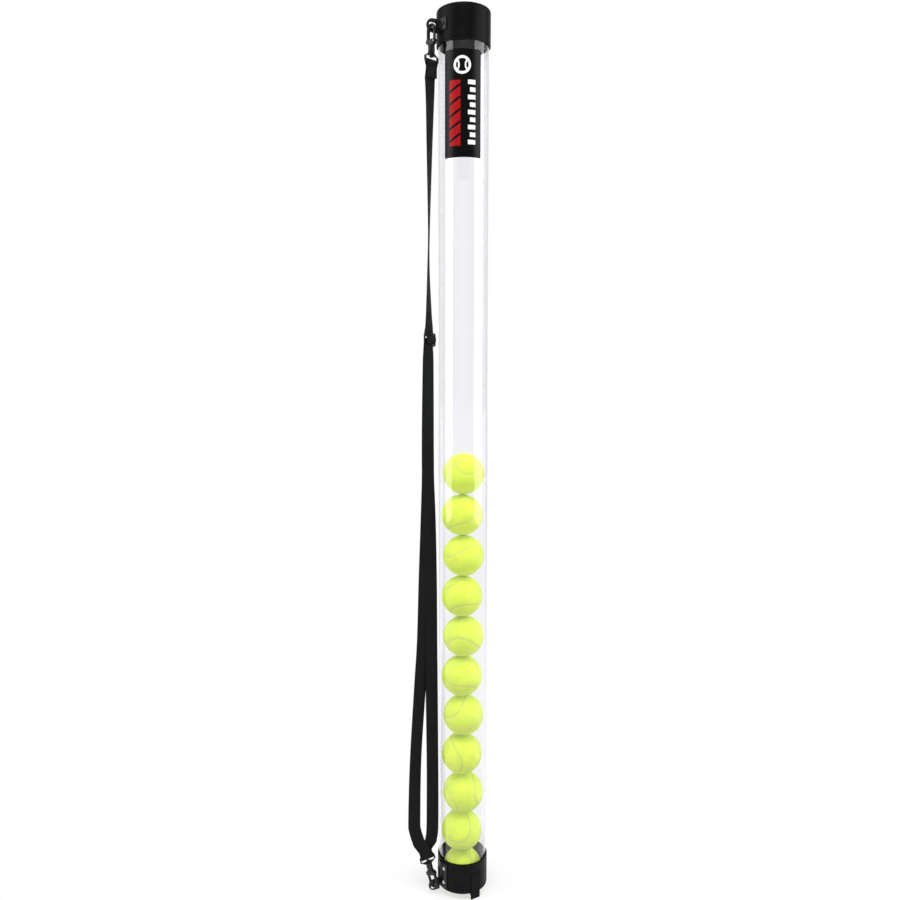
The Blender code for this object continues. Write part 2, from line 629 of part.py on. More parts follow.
def make_label():
    """The printed label, a thin skin round the front of the tube."""
    outer = LABEL_INNER + LABEL_THICKNESS
    profile = [(LABEL_INNER, LABEL_BOTTOM), (outer, LABEL_BOTTOM)]
    profile += [(outer, LABEL_TOP), (LABEL_INNER, LABEL_TOP)]
    paper = material("label_print", LABEL_BLACK, 0.3)
    skin = turned(profile, 16, 0.0, LABEL_RIGHT - LABEL_LEFT)
    add_object("label", skin, paper, radial_frame(LABEL_LEFT))


def make_balls():
    """The stack of balls, the first on the fingers and the others a little to either side."""
    felt = material("ball_felt", BALL_YELLOW, 0.9)
    for number in range(BALL_COUNT):
        bm = bmesh.new()
        bmesh.ops.create_icosphere(bm, subdivisions=3, radius=BALL_DIAMETER / 2)
        side = 0.0 if number == 0 else BALL_WANDER * (-1) ** number
        spot = Vector((AXIS_X + side, 0.0, FIRST_BALL_Z + number * BALL_PITCH))
        add_object(f"ball_{number + 1:02d}", bm, felt, Matrix.Translation(spot), 60.0)


def hook_places():
    """Placements of the two hooks and the two eyes, from where each bow crosses its lug's hole."""
    top_w = HOOK_BOW_W + BOW_RADIUS
    cap_origin = CAP_CROSSING - Vector((0.0, 0.0, top_w))
    collar_origin = COLLAR_CROSSING - COLLAR_HOOK_AXIS.normalized() * top_w
    shift = Vector((AXIS_X, 0.0, 0.0))
    up = Vector((0.0, 0.0, 1.0))
    return {
        "cap_hook": frame_from(cap_origin + shift, up, CAP_HOOK_ACROSS),
        "cap_eye": frame_from(cap_origin + shift, up, strap_direction(CAP_EYE_TURN)),
        "collar_hook": frame_from(collar_origin + shift, COLLAR_HOOK_AXIS, COLLAR_HOOK_ACROSS),
        "collar_eye": frame_from(collar_origin + shift, COLLAR_HOOK_AXIS, COLLAR_EYE_ACROSS),
    }


def placed(place, points):
    """Strap stations from (n, w) points in the plane across a placement."""
    across = (place.to_3x3() @ Vector((1.0, 0.0, 0.0))).normalized()
    return [(place @ Vector((0.0, n, w)), across) for n, w in points]


def hanging(stations, steps):
    """Strap stations from (x, y, z, turn) values of its free run."""
    smooth = smoothed(stations, steps)
    return [(Vector((x + AXIS_X, y, z)), strap_direction(turn)) for x, y, z, turn in smooth]


def around_bar(rise, first, last, steps=8):
    """Points of a strap that turns round an eye's bar, from one face to the other."""
    center_w = -(EYE_BARREL + EYE_BAR + EYE_SLOT + EYE_BAR / 2)
    turn = arc((0.0, center_w), BAR_TURN_RADIUS, first, last, steps)
    return [(turn[0][0], center_w - rise)] + turn + [(turn[-1][0], center_w - rise)]


def make_straps(places, slider_place):
    """The webbing: one length from the cap's eye through the slider, and the loop below it."""
    webbing = material("webbing_black", STRAP_BLACK, 0.8)
    center_w = -(EYE_BARREL + EYE_BAR + EYE_SLOT + EYE_BAR / 2)
    tail = [(-FOLD_HALF, center_w - 0.0220), (-FOLD_HALF, center_w - 0.0090)]
    turn = around_bar(0.0015, 180.0, 0.0) + [(FOLD_HALF, center_w - 0.0090)]
    top = placed(places["cap_eye"], tail + turn)
    top += hanging(UPPER_RUN, 5)
    top += placed(slider_place, SLIDER_PASS)
    add_object("webbing_upper", ribbon(top), webbing)
    loop = placed(slider_place, [(0.0019, -0.0143)])
    loop += hanging(FRONT_RUN, 5)
    loop += placed(places["collar_eye"], around_bar(0.0080, 0.0, 180.0))
    loop += hanging(REAR_RUN, 5)
    wrap = arc((0.0, 0.0), SLIDER_WRAP_RADIUS, 0.0, 250.0, 10)
    loop += placed(slider_place, [(0.0036, -0.0110), (0.0033, -0.0055), (0.0026, -0.0016)] + wrap)
    add_object("webbing_loop", ribbon(loop), webbing)


def main():
    clear_scene()
    make_tube()
    make_cap()
    make_collar()
    make_fingers()
    make_lugs()
    places = hook_places()
    make_hook("cap", places["cap_hook"])
    make_hook("collar", places["collar_hook"])
    make_eye("cap", places["cap_eye"])
    make_eye("collar", places["collar_eye"])
    middle = Vector((SLIDER_X + AXIS_X, SLIDER_Y, SLIDER_Z))
    slider_place = frame_from(middle, Vector((0.0, 0.0, 1.0)), strap_direction(SLIDER_TURN))
    make_slider(slider_place)
    make_straps(places, slider_place)
    make_label()
    make_balls()


main()
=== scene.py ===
"""Dresses the tennis ball pick-up tube: clear tube, black cap and collar, felt balls, shoulder strap."""
import math

import bmesh
import bpy
from mathutils import Matrix, Vector


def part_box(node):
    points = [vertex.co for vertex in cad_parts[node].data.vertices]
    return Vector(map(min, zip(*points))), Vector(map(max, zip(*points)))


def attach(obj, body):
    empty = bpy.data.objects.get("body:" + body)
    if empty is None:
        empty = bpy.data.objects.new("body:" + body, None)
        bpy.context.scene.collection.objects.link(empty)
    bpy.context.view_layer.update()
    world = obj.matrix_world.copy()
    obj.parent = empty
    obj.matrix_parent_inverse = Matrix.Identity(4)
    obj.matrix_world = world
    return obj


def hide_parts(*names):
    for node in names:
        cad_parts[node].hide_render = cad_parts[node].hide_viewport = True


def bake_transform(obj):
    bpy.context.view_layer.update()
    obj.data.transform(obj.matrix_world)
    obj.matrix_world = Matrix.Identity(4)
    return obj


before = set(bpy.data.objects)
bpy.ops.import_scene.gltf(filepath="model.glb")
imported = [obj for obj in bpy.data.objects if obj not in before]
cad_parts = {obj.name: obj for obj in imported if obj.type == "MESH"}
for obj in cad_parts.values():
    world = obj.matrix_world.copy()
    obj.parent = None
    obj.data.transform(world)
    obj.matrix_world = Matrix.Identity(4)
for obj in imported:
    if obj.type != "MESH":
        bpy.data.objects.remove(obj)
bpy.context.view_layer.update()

bl_info = {
    "name": "Tennis Ball Pick-up Tube",
    "version": (1, 0, 0),
    "blender": (4, 5, 0),
    "location": "View3D > Sidebar > Pick-up Tube",
    "description": "Builds the dressed pieces of a tennis ball pick-up tube on its frame",
    "category": "Object",
}

UP = Vector((0.0, 0.0, 1.0))


def middle_of(node):
    """Middle of a frame node's box."""
    low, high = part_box(node)
    return (Vector(low) + Vector(high)) / 2


AXIS_X = middle_of("clear_tube").x
BALL_RADIUS = (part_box("ball_01")[1][2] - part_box("ball_01")[0][2]) / 2

# How the strap hangs: x from the tube's axis, y, z and the turn of its width in degrees
UPPER_RUN = [
    (-0.0500, -0.0230, 1.2780, 44.0), (-0.0499, -0.0232, 1.2490, 54.0), (-0.0508, -0.0235, 1.1780, 68.0),
    (-0.0519, -0.0235, 1.0610, 86.0), (-0.0527, -0.0230, 1.0050, 84.0), (-0.0524, -0.0215, 0.9400, 68.0),
    (-0.0522, -0.0206, 0.9150, 56.0),
]
FRONT_RUN = [
    (-0.0529, -0.0208, 0.8700, 44.0), (-0.0543, -0.0222, 0.7500, 25.0), (-0.0546, -0.0222, 0.6820, 20.0),
    (-0.0565, -0.0216, 0.6190, 18.0), (-0.0600, -0.0212, 0.5230, 18.0), (-0.0630, -0.0200, 0.4260, 18.0),
    (-0.0680, -0.0180, 0.3500, 20.0), (-0.0757, -0.0140, 0.2270, 24.0), (-0.0783, -0.0150, 0.1260, 12.0),
    (-0.0772, -0.0165, 0.1060, 10.0), (-0.0705, -0.0215, 0.0870, 12.0),
]
REAR_RUN = [
    (-0.0520, -0.0148, 0.0860, 14.0), (-0.0492, -0.0140, 0.1050, 14.0), (-0.0486, -0.0135, 0.1500, 16.0),
    (-0.0486, -0.0130, 0.2270, 20.0), (-0.0496, -0.0160, 0.3600, 15.0), (-0.0502, -0.0175, 0.4260, 12.0),
    (-0.0506, -0.0186, 0.5230, 14.0), (-0.0522, -0.0190, 0.6190, 17.0), (-0.0543, -0.0195, 0.6820, 20.0),
    (-0.0547, -0.0197, 0.7500, 25.0), (-0.0543, -0.0190, 0.8700, 44.0),
]
SLIDER_PASS = [
    (0.00195, 0.0115), (0.00195, 0.0088), (0.0013, 0.0070), (-0.0008, 0.0059), (-0.0029, 0.0040),
    (-0.00385, 0.0018), (-0.00395, 0.0), (-0.00385, -0.0018), (-0.0029, -0.0040), (-0.0008, -0.0059),
    (0.0013, -0.0070), (0.00195, -0.0088), (0.0019, -0.0140),
]
EYE_BAR_W = -0.0233
FOLD_HALF = 0.00078
CAP_EYE_TURN = 42.0
SLIDER_TURN = 50.0
CAP_CROSSING = Vector((-0.0476, -0.0222, 1.3542))
COLLAR_CROSSING = Vector((-0.0450, -0.0224, 0.0135))
COLLAR_HOOK_AXIS = Vector((0.25, -0.06, -0.966))
COLLAR_EYE_ACROSS = Vector((1.0, 0.30, 0.0))
HOOK_TOP_W = 0.0283
STRAP_SPLIT_Z = 1.150

SEWN_HIGH_W = EYE_BAR_W - 0.0090
SEWN_LOW_W = EYE_BAR_W - 0.0205
SEWN_HALF = 0.0072
SEWN_LEVELS = (-0.00150, 0.00150)

# The label, as degrees to the right of the front, and its print in metres from its middle
LABEL_LEFT = -46.0
LABEL_RIGHT = 40.0
FILM_INNER, FILM_OUTER, INK_RISE, INK_ROOT = 0.0384, 0.0386, 0.00004, 0.00002
EMBLEM_V, EMBLEM_RADIUS, EMBLEM_WIDTH, EMBLEM_BAR_WIDTH = 0.0540, 0.0112, 0.0038, 0.0024
BAR_RIGHT, BAR_SHORT, BAR_LONG = 0.0195, 0.0085, 0.0115
BAR_TOP, BAR_PITCH, BAR_HALF = 0.0300, 0.0106, 0.0032
PANEL = (-0.0205, -0.0030, -0.0600, 0.0330)
GAP_FOOT, GAP_PITCH, GAP_STEP, GAP_WIDTH = -0.0540, 0.0175, (0.0035, 0.0022), 0.0034

# The cap's walls and edges
CAP_WALL, CAP_TOP_THICKNESS, CAP_EDGE = 0.0022, 0.0030, 0.0030
CAP_RIM_INNER, CAP_RIM_OUTER = 0.0008, 0.0007
RING_OUTER, RING_INNER, RING_DEPTH, RING_EDGE = 0.0362, 0.0342, 0.0120, 0.0006
CAP_DISH_RADIUS_IN, CAP_DISH_SLOPE, CAP_DISH_DEPTH = 0.0090, 0.0006, 0.0004

# The rivets: the angle of the lugs from the front, and how far a dome stands out
LUG_ANGLE = -46.0
RIVET_STANDS = 0.0018

# Voxels of the pieces that are remeshed
COLLAR_VOXEL, LUG_VOXEL, CASTING_VOXEL, GATE_VOXEL = 0.00055, 0.0004, 0.0003, 0.0002

# Lamps: name, place, point they look at, size and power
LAMPS = (
    ("key_lamp", (-0.25, -1.00, 2.75), (0.0, 0.0, 0.75), (1.2, 0.8), 27.0),
    ("left_lamp", (-1.46, -0.34, 1.22), (0.0, 0.0, 0.90), (1.4, 1.9), 20.0),
    ("right_lamp", (1.46, -0.34, 1.22), (0.0, 0.0, 0.90), (1.4, 1.9), 20.0),
)
CAMERA_PLACE, CAMERA_TILT, CAMERA_LENS = (0.00366, -1.302, 0.862), 84.05, 33.37


class TubeColours(bpy.types.PropertyGroup):
    """Colours of the finishes."""
    felt: bpy.props.FloatVectorProperty(
        name="Felt", description="Optic yellow of the balls", subtype="COLOR",
        size=3, default=(0.70, 0.82, 0.030), min=0.0, max=1.0)
    seam: bpy.props.FloatVectorProperty(
        name="Seam", description="Rubber seam of the balls", subtype="COLOR",
        size=3, default=(0.55, 0.63, 0.17), min=0.0, max=1.0)
    plastic: bpy.props.FloatVectorProperty(
        name="Black plastic", description="Cap, collar and fingers", subtype="COLOR",
        size=3, default=(0.0022, 0.0022, 0.0027), min=0.0, max=1.0)
    hook: bpy.props.FloatVectorProperty(
        name="Hook black", description="Coated metal of the hooks and lugs", subtype="COLOR",
        size=3, default=(0.0045, 0.0045, 0.0050), min=0.0, max=1.0)
    webbing: bpy.props.FloatVectorProperty(
        name="Webbing", description="Black polypropylene webbing", subtype="COLOR",
        size=3, default=(0.0034, 0.0040, 0.0036), min=0.0, max=1.0)
    red: bpy.props.FloatVectorProperty(
        name="Label red", description="Red ink on the label", subtype="COLOR",
        size=3, default=(0.34, 0.004, 0.006), min=0.0, max=1.0)


class TubeSizes(bpy.types.PropertyGroup):
    """Sizes that a maker would change."""
    wall: bpy.props.FloatProperty(
        name="Tube wall", description="Wall of the clear tube", unit="LENGTH", default=0.0015, min=0.0008)
    strap_width: bpy.props.FloatProperty(
        name="Strap width", description="Width of the webbing", unit="LENGTH", default=0.020)
    strap_thickness: bpy.props.FloatProperty(
        name="Strap thickness", description="Thickness of the webbing", unit="LENGTH", default=0.0012)
    seam_width: bpy.props.FloatProperty(
        name="Seam width", description="Width of a ball's seam", unit="LENGTH", default=0.0028)
    fuzz: bpy.props.FloatProperty(
        name="Felt height", description="Unevenness of the felt", unit="LENGTH", default=0.0005)
    stitch: bpy.props.FloatProperty(
        name="Stitch length", description="Length of one stitch", unit="LENGTH", default=0.0022)


def colours():
    return bpy.context.scene.tube_colours


def sizes():
    return bpy.context.scene.tube_sizes


def rgba(color):
    """A colour with full alpha."""
    return (color[0], color[1], color[2], 1.0)


class Finish:
    """A material whose nodes are added one at a time and joined to its Principled shader."""

    def __init__(self, name):
        self.material = bpy.data.materials.new(name)
        self.material.use_nodes = True
        self.tree = self.material.node_tree
        self.shader = self.tree.nodes["Principled BSDF"]
        self.output = self.tree.nodes["Material Output"]

    def add(self, kind, inputs=None, **settings):
        """A node with its settings, and its inputs set to values or joined to sockets."""
        made = self.tree.nodes.new(kind)
        for key, value in settings.items():
            setattr(made, key, value)
        for key, value in (inputs or {}).items():
            self.give(made.inputs[key], value)
        return made

    def give(self, socket, value):
        """Set a socket, or join it where the value is a socket itself."""
        if isinstance(value, bpy.types.NodeSocket):
            self.tree.links.new(value, socket)
        else:
            socket.default_value = value

    def math(self, operation, first, second=0.0, clamp=False):
        """A Math node's result."""
        made = self.add("ShaderNodeMath", {0: first, 1: second}, operation=operation, use_clamp=clamp)
        return made.outputs[0]

    def noise(self, vector, scale, detail=4.0, roughness=0.55):
        """A Noise Texture's value."""
        made = self.add("ShaderNodeTexNoise",
                        {"Vector": vector, "Scale": scale, "Detail": detail, "Roughness": roughness})
        return made.outputs["Fac"]

    def spread(self, value, low, high, start=0.3, end=0.7):
        """A value's range from start to end, mapped to low to high."""
        made = self.add("ShaderNodeMapRange", {"Value": value, "From Min": start, "From Max": end,
                                               "To Min": low, "To Max": high})
        return made.outputs["Result"]

    def mixed(self, factor, first, second):
        """Two colours mixed."""
        made = self.add("ShaderNodeMix", {"Factor": factor}, data_type="RGBA")
        self.give(made.inputs[6], first)
        self.give(made.inputs[7], second)
        return made.outputs[2]

    def bump(self, height, strength, distance, normal=None):
        """A Bump node's normal."""
        made = self.add("ShaderNodeBump", {"Height": height, "Strength": strength, "Distance": distance})
        if normal:
            self.give(made.inputs["Normal"], normal)
        return made.outputs["Normal"]

    def set(self, **values):
        """Inputs of the Principled shader; an underscore in a name stands for a space."""
        for key, value in values.items():
            self.give(self.shader.inputs[key.replace("_", " ")], value)
        return self.material

    def place(self):
        """Object coordinates."""
        return self.add("ShaderNodeTexCoord").outputs["Object"]

    def stretched(self, vector, scale):
        """Coordinates scaled by axis."""
        return self.add("ShaderNodeMapping", {"Vector": vector, "Scale": scale}).outputs["Vector"]


def clear_plastic():
    """Clear extruded plastic with faint drawn lines; lamps reach through it."""
    finish = Finish("clear_plastic")
    drawn = finish.stretched(finish.place(), (70.0, 70.0, 0.6))
    lines = finish.noise(drawn, 1.0, 2.0)
    cloud = finish.noise(finish.place(), 38.0, 3.0)
    normal = finish.bump(lines, 0.03, 0.0002)
    finish.set(Base_Color=(0.955, 0.957, 0.975, 1.0), Roughness=finish.spread(cloud, 0.015, 0.04),
               Transmission_Weight=1.0, IOR=1.46, Normal=normal)
    passing = finish.add("ShaderNodeBsdfTransparent", {"Color": (0.96, 0.965, 0.975, 1.0)})
    path = finish.add("ShaderNodeLightPath")
    mix = finish.add("ShaderNodeMixShader", {0: path.outputs["Is Shadow Ray"],
                                             1: finish.shader.outputs["BSDF"], 2: passing.outputs["BSDF"]})
    finish.tree.links.new(mix.outputs["Shader"], finish.output.inputs["Surface"])
    return finish.material


def moulded_black(name, roughness, grain):
    """Black moulded plastic with a fine grain, faint scuffs and a little dust."""
    finish = Finish(name)
    place = finish.place()
    fine = finish.noise(place, grain, 3.0)
    cloud = finish.noise(place, 55.0, 4.0)
    scuffs = finish.noise(finish.stretched(place, (900.0, 900.0, 70.0)), 1.0, 2.0)
    black = rgba(colours().plastic)
    worn = tuple(min(1.0, part * 1.9 + 0.002) for part in black[:3]) + (1.0,)
    color = finish.mixed(finish.spread(cloud, 0.0, 0.7), black, worn)
    rough = finish.math("ADD", finish.spread(cloud, roughness - 0.05, roughness + 0.06),
                        finish.spread(scuffs, 0.0, 0.07, 0.55, 0.75))
    normal = finish.bump(fine, 0.22, 0.00012)
    return finish.set(Base_Color=color, Roughness=rough, Specular_IOR_Level=0.08, Normal=normal)


def coated_metal():
    """Black powder coat, worn a little paler where it rubs."""
    finish = Finish("coated_metal")
    place = finish.place()
    orange = finish.noise(place, 1500.0, 2.0)
    cloud = finish.noise(place, 160.0, 4.0)
    black = rgba(colours().hook)
    color = finish.mixed(finish.spread(cloud, 0.0, 0.6), black, (0.016, 0.016, 0.017, 1.0))
    normal = finish.bump(orange, 0.18, 0.0001)
    return finish.set(Base_Color=color, Roughness=finish.spread(cloud, 0.22, 0.36),
                      Specular_IOR_Level=0.25, Normal=normal)


def bright_steel():
    """Plated steel with fine turning lines."""
    finish = Finish("bright_steel")
    place = finish.place()
    lines = finish.noise(finish.stretched(place, (300.0, 300.0, 3800.0)), 1.0, 2.0)
    cloud = finish.noise(place, 300.0, 3.0)
    color = finish.mixed(finish.spread(cloud, 0.0, 1.0), (0.50, 0.50, 0.51, 1.0), (0.66, 0.66, 0.66, 1.0))
    return finish.set(Base_Color=color, Roughness=finish.spread(cloud, 0.22, 0.36), Metallic=1.0,
                      Normal=finish.bump(lines, 0.15, 0.0001))


def woven_webbing():
    """Flat webbing in a twill weave along its own UV map, with a painted sheen on the raised threads, and
    darker towards both edges.
    """
    finish = Finish("woven_webbing")
    uv = finish.add("ShaderNodeUVMap", uv_map="weave").outputs["UV"]
    split = finish.add("ShaderNodeSeparateXYZ", {"Vector": uv})
    across, along = split.outputs["X"], split.outputs["Y"]
    mirrored = finish.math("ABSOLUTE", finish.math("SUBTRACT", across, 0.5))
    ridge = finish.math("SINE", finish.math("MULTIPLY", across, 2 * math.pi * 15.0))
    slant = finish.math("ADD", finish.math("MULTIPLY", along, 2 * math.pi * 720.0),
                        finish.math("MULTIPLY", mirrored, 2 * math.pi * 14.0))
    twill = finish.math("SINE", slant)
    weave = finish.math("MULTIPLY", finish.math("ADD", ridge, 1.3), finish.math("ADD", twill, 1.5))
    fibres = finish.noise(finish.stretched(uv, (60.0, 1500.0, 1.0)), 1.0, 4.0)
    drift = finish.noise(finish.stretched(uv, (2.0, 22.0, 1.0)), 1.0, 3.0)
    edge = finish.spread(mirrored, 0.0, 1.0, 0.42, 0.485)
    base = rgba(colours().webbing)
    # Painted sheen: the raised threads of the weave are coloured paler, a highlight painted into the colour
    painted_sheen = finish.mixed(finish.spread(weave, 0.0, 1.0, 0.4, 4.5), base, (0.012, 0.0135, 0.0125, 1.0))
    dusty = finish.mixed(finish.spread(drift, 0.0, 0.4), painted_sheen, (0.0095, 0.0105, 0.010, 1.0))
    # Darker towards both edges of the webbing's width
    color = finish.mixed(edge, dusty, (0.0025, 0.0025, 0.0025, 1.0))
    height = finish.math("ADD", finish.math("MULTIPLY", weave, 0.22), finish.math("MULTIPLY", fibres, 0.5))
    return finish.set(Base_Color=color, Roughness=finish.spread(fibres, 0.58, 0.8),
                      Sheen_Weight=0.01, Specular_IOR_Level=0.10, Normal=finish.bump(height, 0.6, 0.00025))


def stitching_thread():
    """Black bonded thread with its twist."""
    finish = Finish("stitching_thread")
    twist = finish.noise(finish.place(), 4200.0, 2.0)
    color = finish.mixed(twist, (0.016, 0.016, 0.017, 1.0), (0.05, 0.05, 0.052, 1.0))
    return finish.set(Base_Color=color, Roughness=finish.spread(twist, 0.4, 0.6),
                      Normal=finish.bump(twist, 0.4, 0.0001))


def yellow_felt():
    """Optic yellow felt: matted fibres over soft clouds of brighter and greener yellow."""
    finish = Finish("yellow_felt")
    place = finish.place()
    clouds = finish.noise(place, 70.0, 4.0)
    nap = finish.noise(place, 620.0, 5.0, 0.7)
    fibres = finish.noise(place, 2600.0, 4.0, 0.75)
    felt = rgba(colours().felt)
    green = (felt[0] * 0.66, felt[1] * 0.82, felt[2] * 0.5, 1.0)
    pale = (min(1.0, felt[0] * 1.08), min(1.0, felt[1] * 1.06), felt[2] * 2.4, 1.0)
    color = finish.mixed(finish.spread(clouds, 0.0, 0.75), felt, green)
    color = finish.mixed(finish.spread(nap, 0.0, 0.45, 0.42, 0.78), color, pale)
    color = finish.mixed(finish.spread(fibres, 0.20, 0.0, 0.25, 0.5), color, (0.40, 0.47, 0.02, 1.0))
    height = finish.math("ADD", finish.math("MULTIPLY", nap, 0.7), finish.math("MULTIPLY", fibres, 0.5))
    return finish.set(Base_Color=color, Roughness=finish.spread(nap, 0.86, 0.98), Sheen_Weight=0.35,
                      Sheen_Roughness=0.6, Sheen_Tint=(0.95, 1.0, 0.55, 1.0),
                      Normal=finish.bump(height, 0.7, 0.0006))


def seam_rubber():
    """The greyish rubber that shows between a ball's two felt halves."""
    finish = Finish("seam_rubber")
    place = finish.place()
    speckle = finish.noise(place, 900.0, 4.0)
    color = finish.mixed(finish.spread(speckle, 0.0, 0.6), rgba(colours().seam), (0.42, 0.50, 0.12, 1.0))
    return finish.set(Base_Color=color, Roughness=finish.spread(speckle, 0.66, 0.85),
                      Normal=finish.bump(speckle, 0.4, 0.0002))


def printed_film(name, ink, gloss):
    """A smooth printed film or an ink on it, with a faint mottle."""
    finish = Finish(name)
    place = finish.place()
    mottle = finish.noise(place, 420.0, 4.0)
    waves = finish.noise(finish.stretched(place, (40.0, 40.0, 14.0)), 1.0, 2.0)
    darker = tuple(part * 0.82 for part in ink) + (1.0,)
    color = finish.mixed(finish.spread(mottle, 0.0, 0.6), rgba(ink), darker)
    normal = finish.bump(waves, 0.15, 0.0006)
    return finish.set(Base_Color=color, Roughness=finish.spread(mottle, gloss - 0.05, gloss + 0.07),
                      Specular_IOR_Level=0.2, Normal=normal)


def linked(name, data):
    """A new object in the scene."""
    obj = bpy.data.objects.new(name, data)
    bpy.context.scene.collection.objects.link(obj)
    return obj


def add_piece(name, bm, materials, smooth_angle=40.0):
    """Turn a bmesh into an object at the origin, with its normals outward."""
    bmesh.ops.recalc_face_normals(bm, faces=bm.faces)
    mesh = bpy.data.meshes.new(name)
    bm.to_mesh(mesh)
    bm.free()
    mesh.shade_smooth()
    mesh.set_sharp_from_angle(angle=math.radians(smooth_angle))
    for mat in materials:
        mesh.materials.append(mat)
    return linked(name, mesh)


def settle(obj, body, slot, *nodes):
    """Let a finished piece ride on its body in place of its frame nodes."""
    if nodes:
        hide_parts(*nodes)
    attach(obj, body)
    return obj


def baked(obj):
    """Apply an object's modifiers for good."""
    evaluated = obj.evaluated_get(bpy.context.evaluated_depsgraph_get())
    mesh = bpy.data.meshes.new_from_object(evaluated)
    obj.modifiers.clear()
    obj.data = mesh
    return obj


def copied(node, name, materials, voxel, rounds=3):
    """A softened copy of a frame node: merged, remeshed and smoothed, like a casting or moulding."""
    bm = bmesh.new()
    bm.from_mesh(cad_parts[node].data)
    bmesh.ops.remove_doubles(bm, verts=bm.verts, dist=1e-6)
    obj = add_piece(name, bm, [])
    remesh = obj.modifiers.new("Soften", "REMESH")
    remesh.mode = "VOXEL"
    remesh.voxel_size = voxel
    remesh.use_smooth_shade = True
    smooth = obj.modifiers.new("Smooth", "SMOOTH")
    smooth.factor = 0.5
    smooth.iterations = rounds
    baked(obj)
    obj.data.materials.clear()
    for mat in materials:
        obj.data.materials.append(mat)
    obj.data.shade_smooth()
    return obj


def arc(center, radius, start, end, steps):
    """Points of an arc in the plane, angles in degrees."""
    turns = [math.radians(start + (end - start) * i / steps) for i in range(steps + 1)]
    return [(center[0] + radius * math.cos(a), center[1] + radius * math.sin(a)) for a in turns]


def turned(profile, segments, axis_x=AXIS_X):
    """Turn a closed profile of (radius, height) points about the tube's axis."""
    bm = bmesh.new()
    rings = []
    for radius, height in profile:
        if radius <= 0.0:
            rings.append([bm.verts.new((axis_x, 0.0, height))] * segments)
            continue
        turns = [2 * math.pi * i / segments for i in range(segments)]
        rings.append([bm.verts.new((axis_x + radius * math.cos(a), radius * math.sin(a), height))
                      for a in turns])
    closed = profile[0][0] > 0.0
    pairs = list(zip(rings, rings[1:] + rings[:1])) if closed else list(zip(rings, rings[1:]))
    for lower, upper in pairs:
        for i in range(segments):
            j = (i + 1) % segments
            corners = []
            for vert in (lower[i], lower[j], upper[j], upper[i]):
                if vert not in corners:
                    corners.append(vert)
            bm.faces.new(corners)
    return bm


def front_direction(angle):
    """Unit vector away from the tube's axis, at an angle to the right of the front."""
    turn = math.radians(angle)
    return Vector((math.sin(turn), -math.cos(turn), 0.0))


def frame_from(origin, along, across):
    """Placement with local Z along a direction and local X as near as it can be to across."""
    w = along.normalized()
    s = (across - across.dot(w) * w).normalized()
    n = w.cross(s)
    return Matrix.Translation(origin) @ Matrix((s, n, w)).transposed().to_4x4()


def new_tree(name, inputs):
    """A geometry tree with a geometry input and output and its named inputs."""
    tree = bpy.data.node_groups.new(name, "GeometryNodeTree")
    tree.interface.new_socket("Geometry", in_out="INPUT", socket_type="NodeSocketGeometry")
    for label, kind, value in inputs:
        socket = tree.interface.new_socket(label, in_out="INPUT", socket_type=kind)
        if value is not None:
            socket.default_value = value
    tree.interface.new_socket("Geometry", in_out="OUTPUT", socket_type="NodeSocketGeometry")
    return tree


def tree_node(tree, kind, inputs=None, **settings):
    """A node in a geometry tree, with its inputs set or joined."""
    made = tree.nodes.new(kind)
    for key, value in settings.items():
        setattr(made, key, value)
    for key, value in (inputs or {}).items():
        if isinstance(value, bpy.types.NodeSocket):
            tree.links.new(value, made.inputs[key])
        else:
            made.inputs[key].default_value = value
    return made


def closed_tree(tree, geometry):
    """A geometry tree with its result joined to its output."""
    end = tree_node(tree, "NodeGroupOutput")
    tree.links.new(geometry, end.inputs[0])
    return tree


def solid_instances(tree, instances, material):
    """End a tree by making its instances real, smooth and of one material."""
    real = tree_node(tree, "GeometryNodeRealizeInstances", {"Geometry": instances})
    smooth = tree_node(tree, "GeometryNodeSetShadeSmooth", {"Geometry": real.outputs[0]})
    done = tree_node(tree, "GeometryNodeSetMaterial", {"Geometry": smooth.outputs[0], "Material": material})
    return closed_tree(tree, done.outputs[0])


def run_tree(obj, tree, values):
    """Run a geometry tree on an object with values for its named inputs."""
    modifier = obj.modifiers.new(tree.name, "NODES")
    modifier.node_group = tree
    for item in tree.interface.items_tree:
        if item.item_type == "SOCKET" and item.in_out == "INPUT" and item.name in values:
            modifier[item.identifier] = values[item.name]
    return baked(obj)


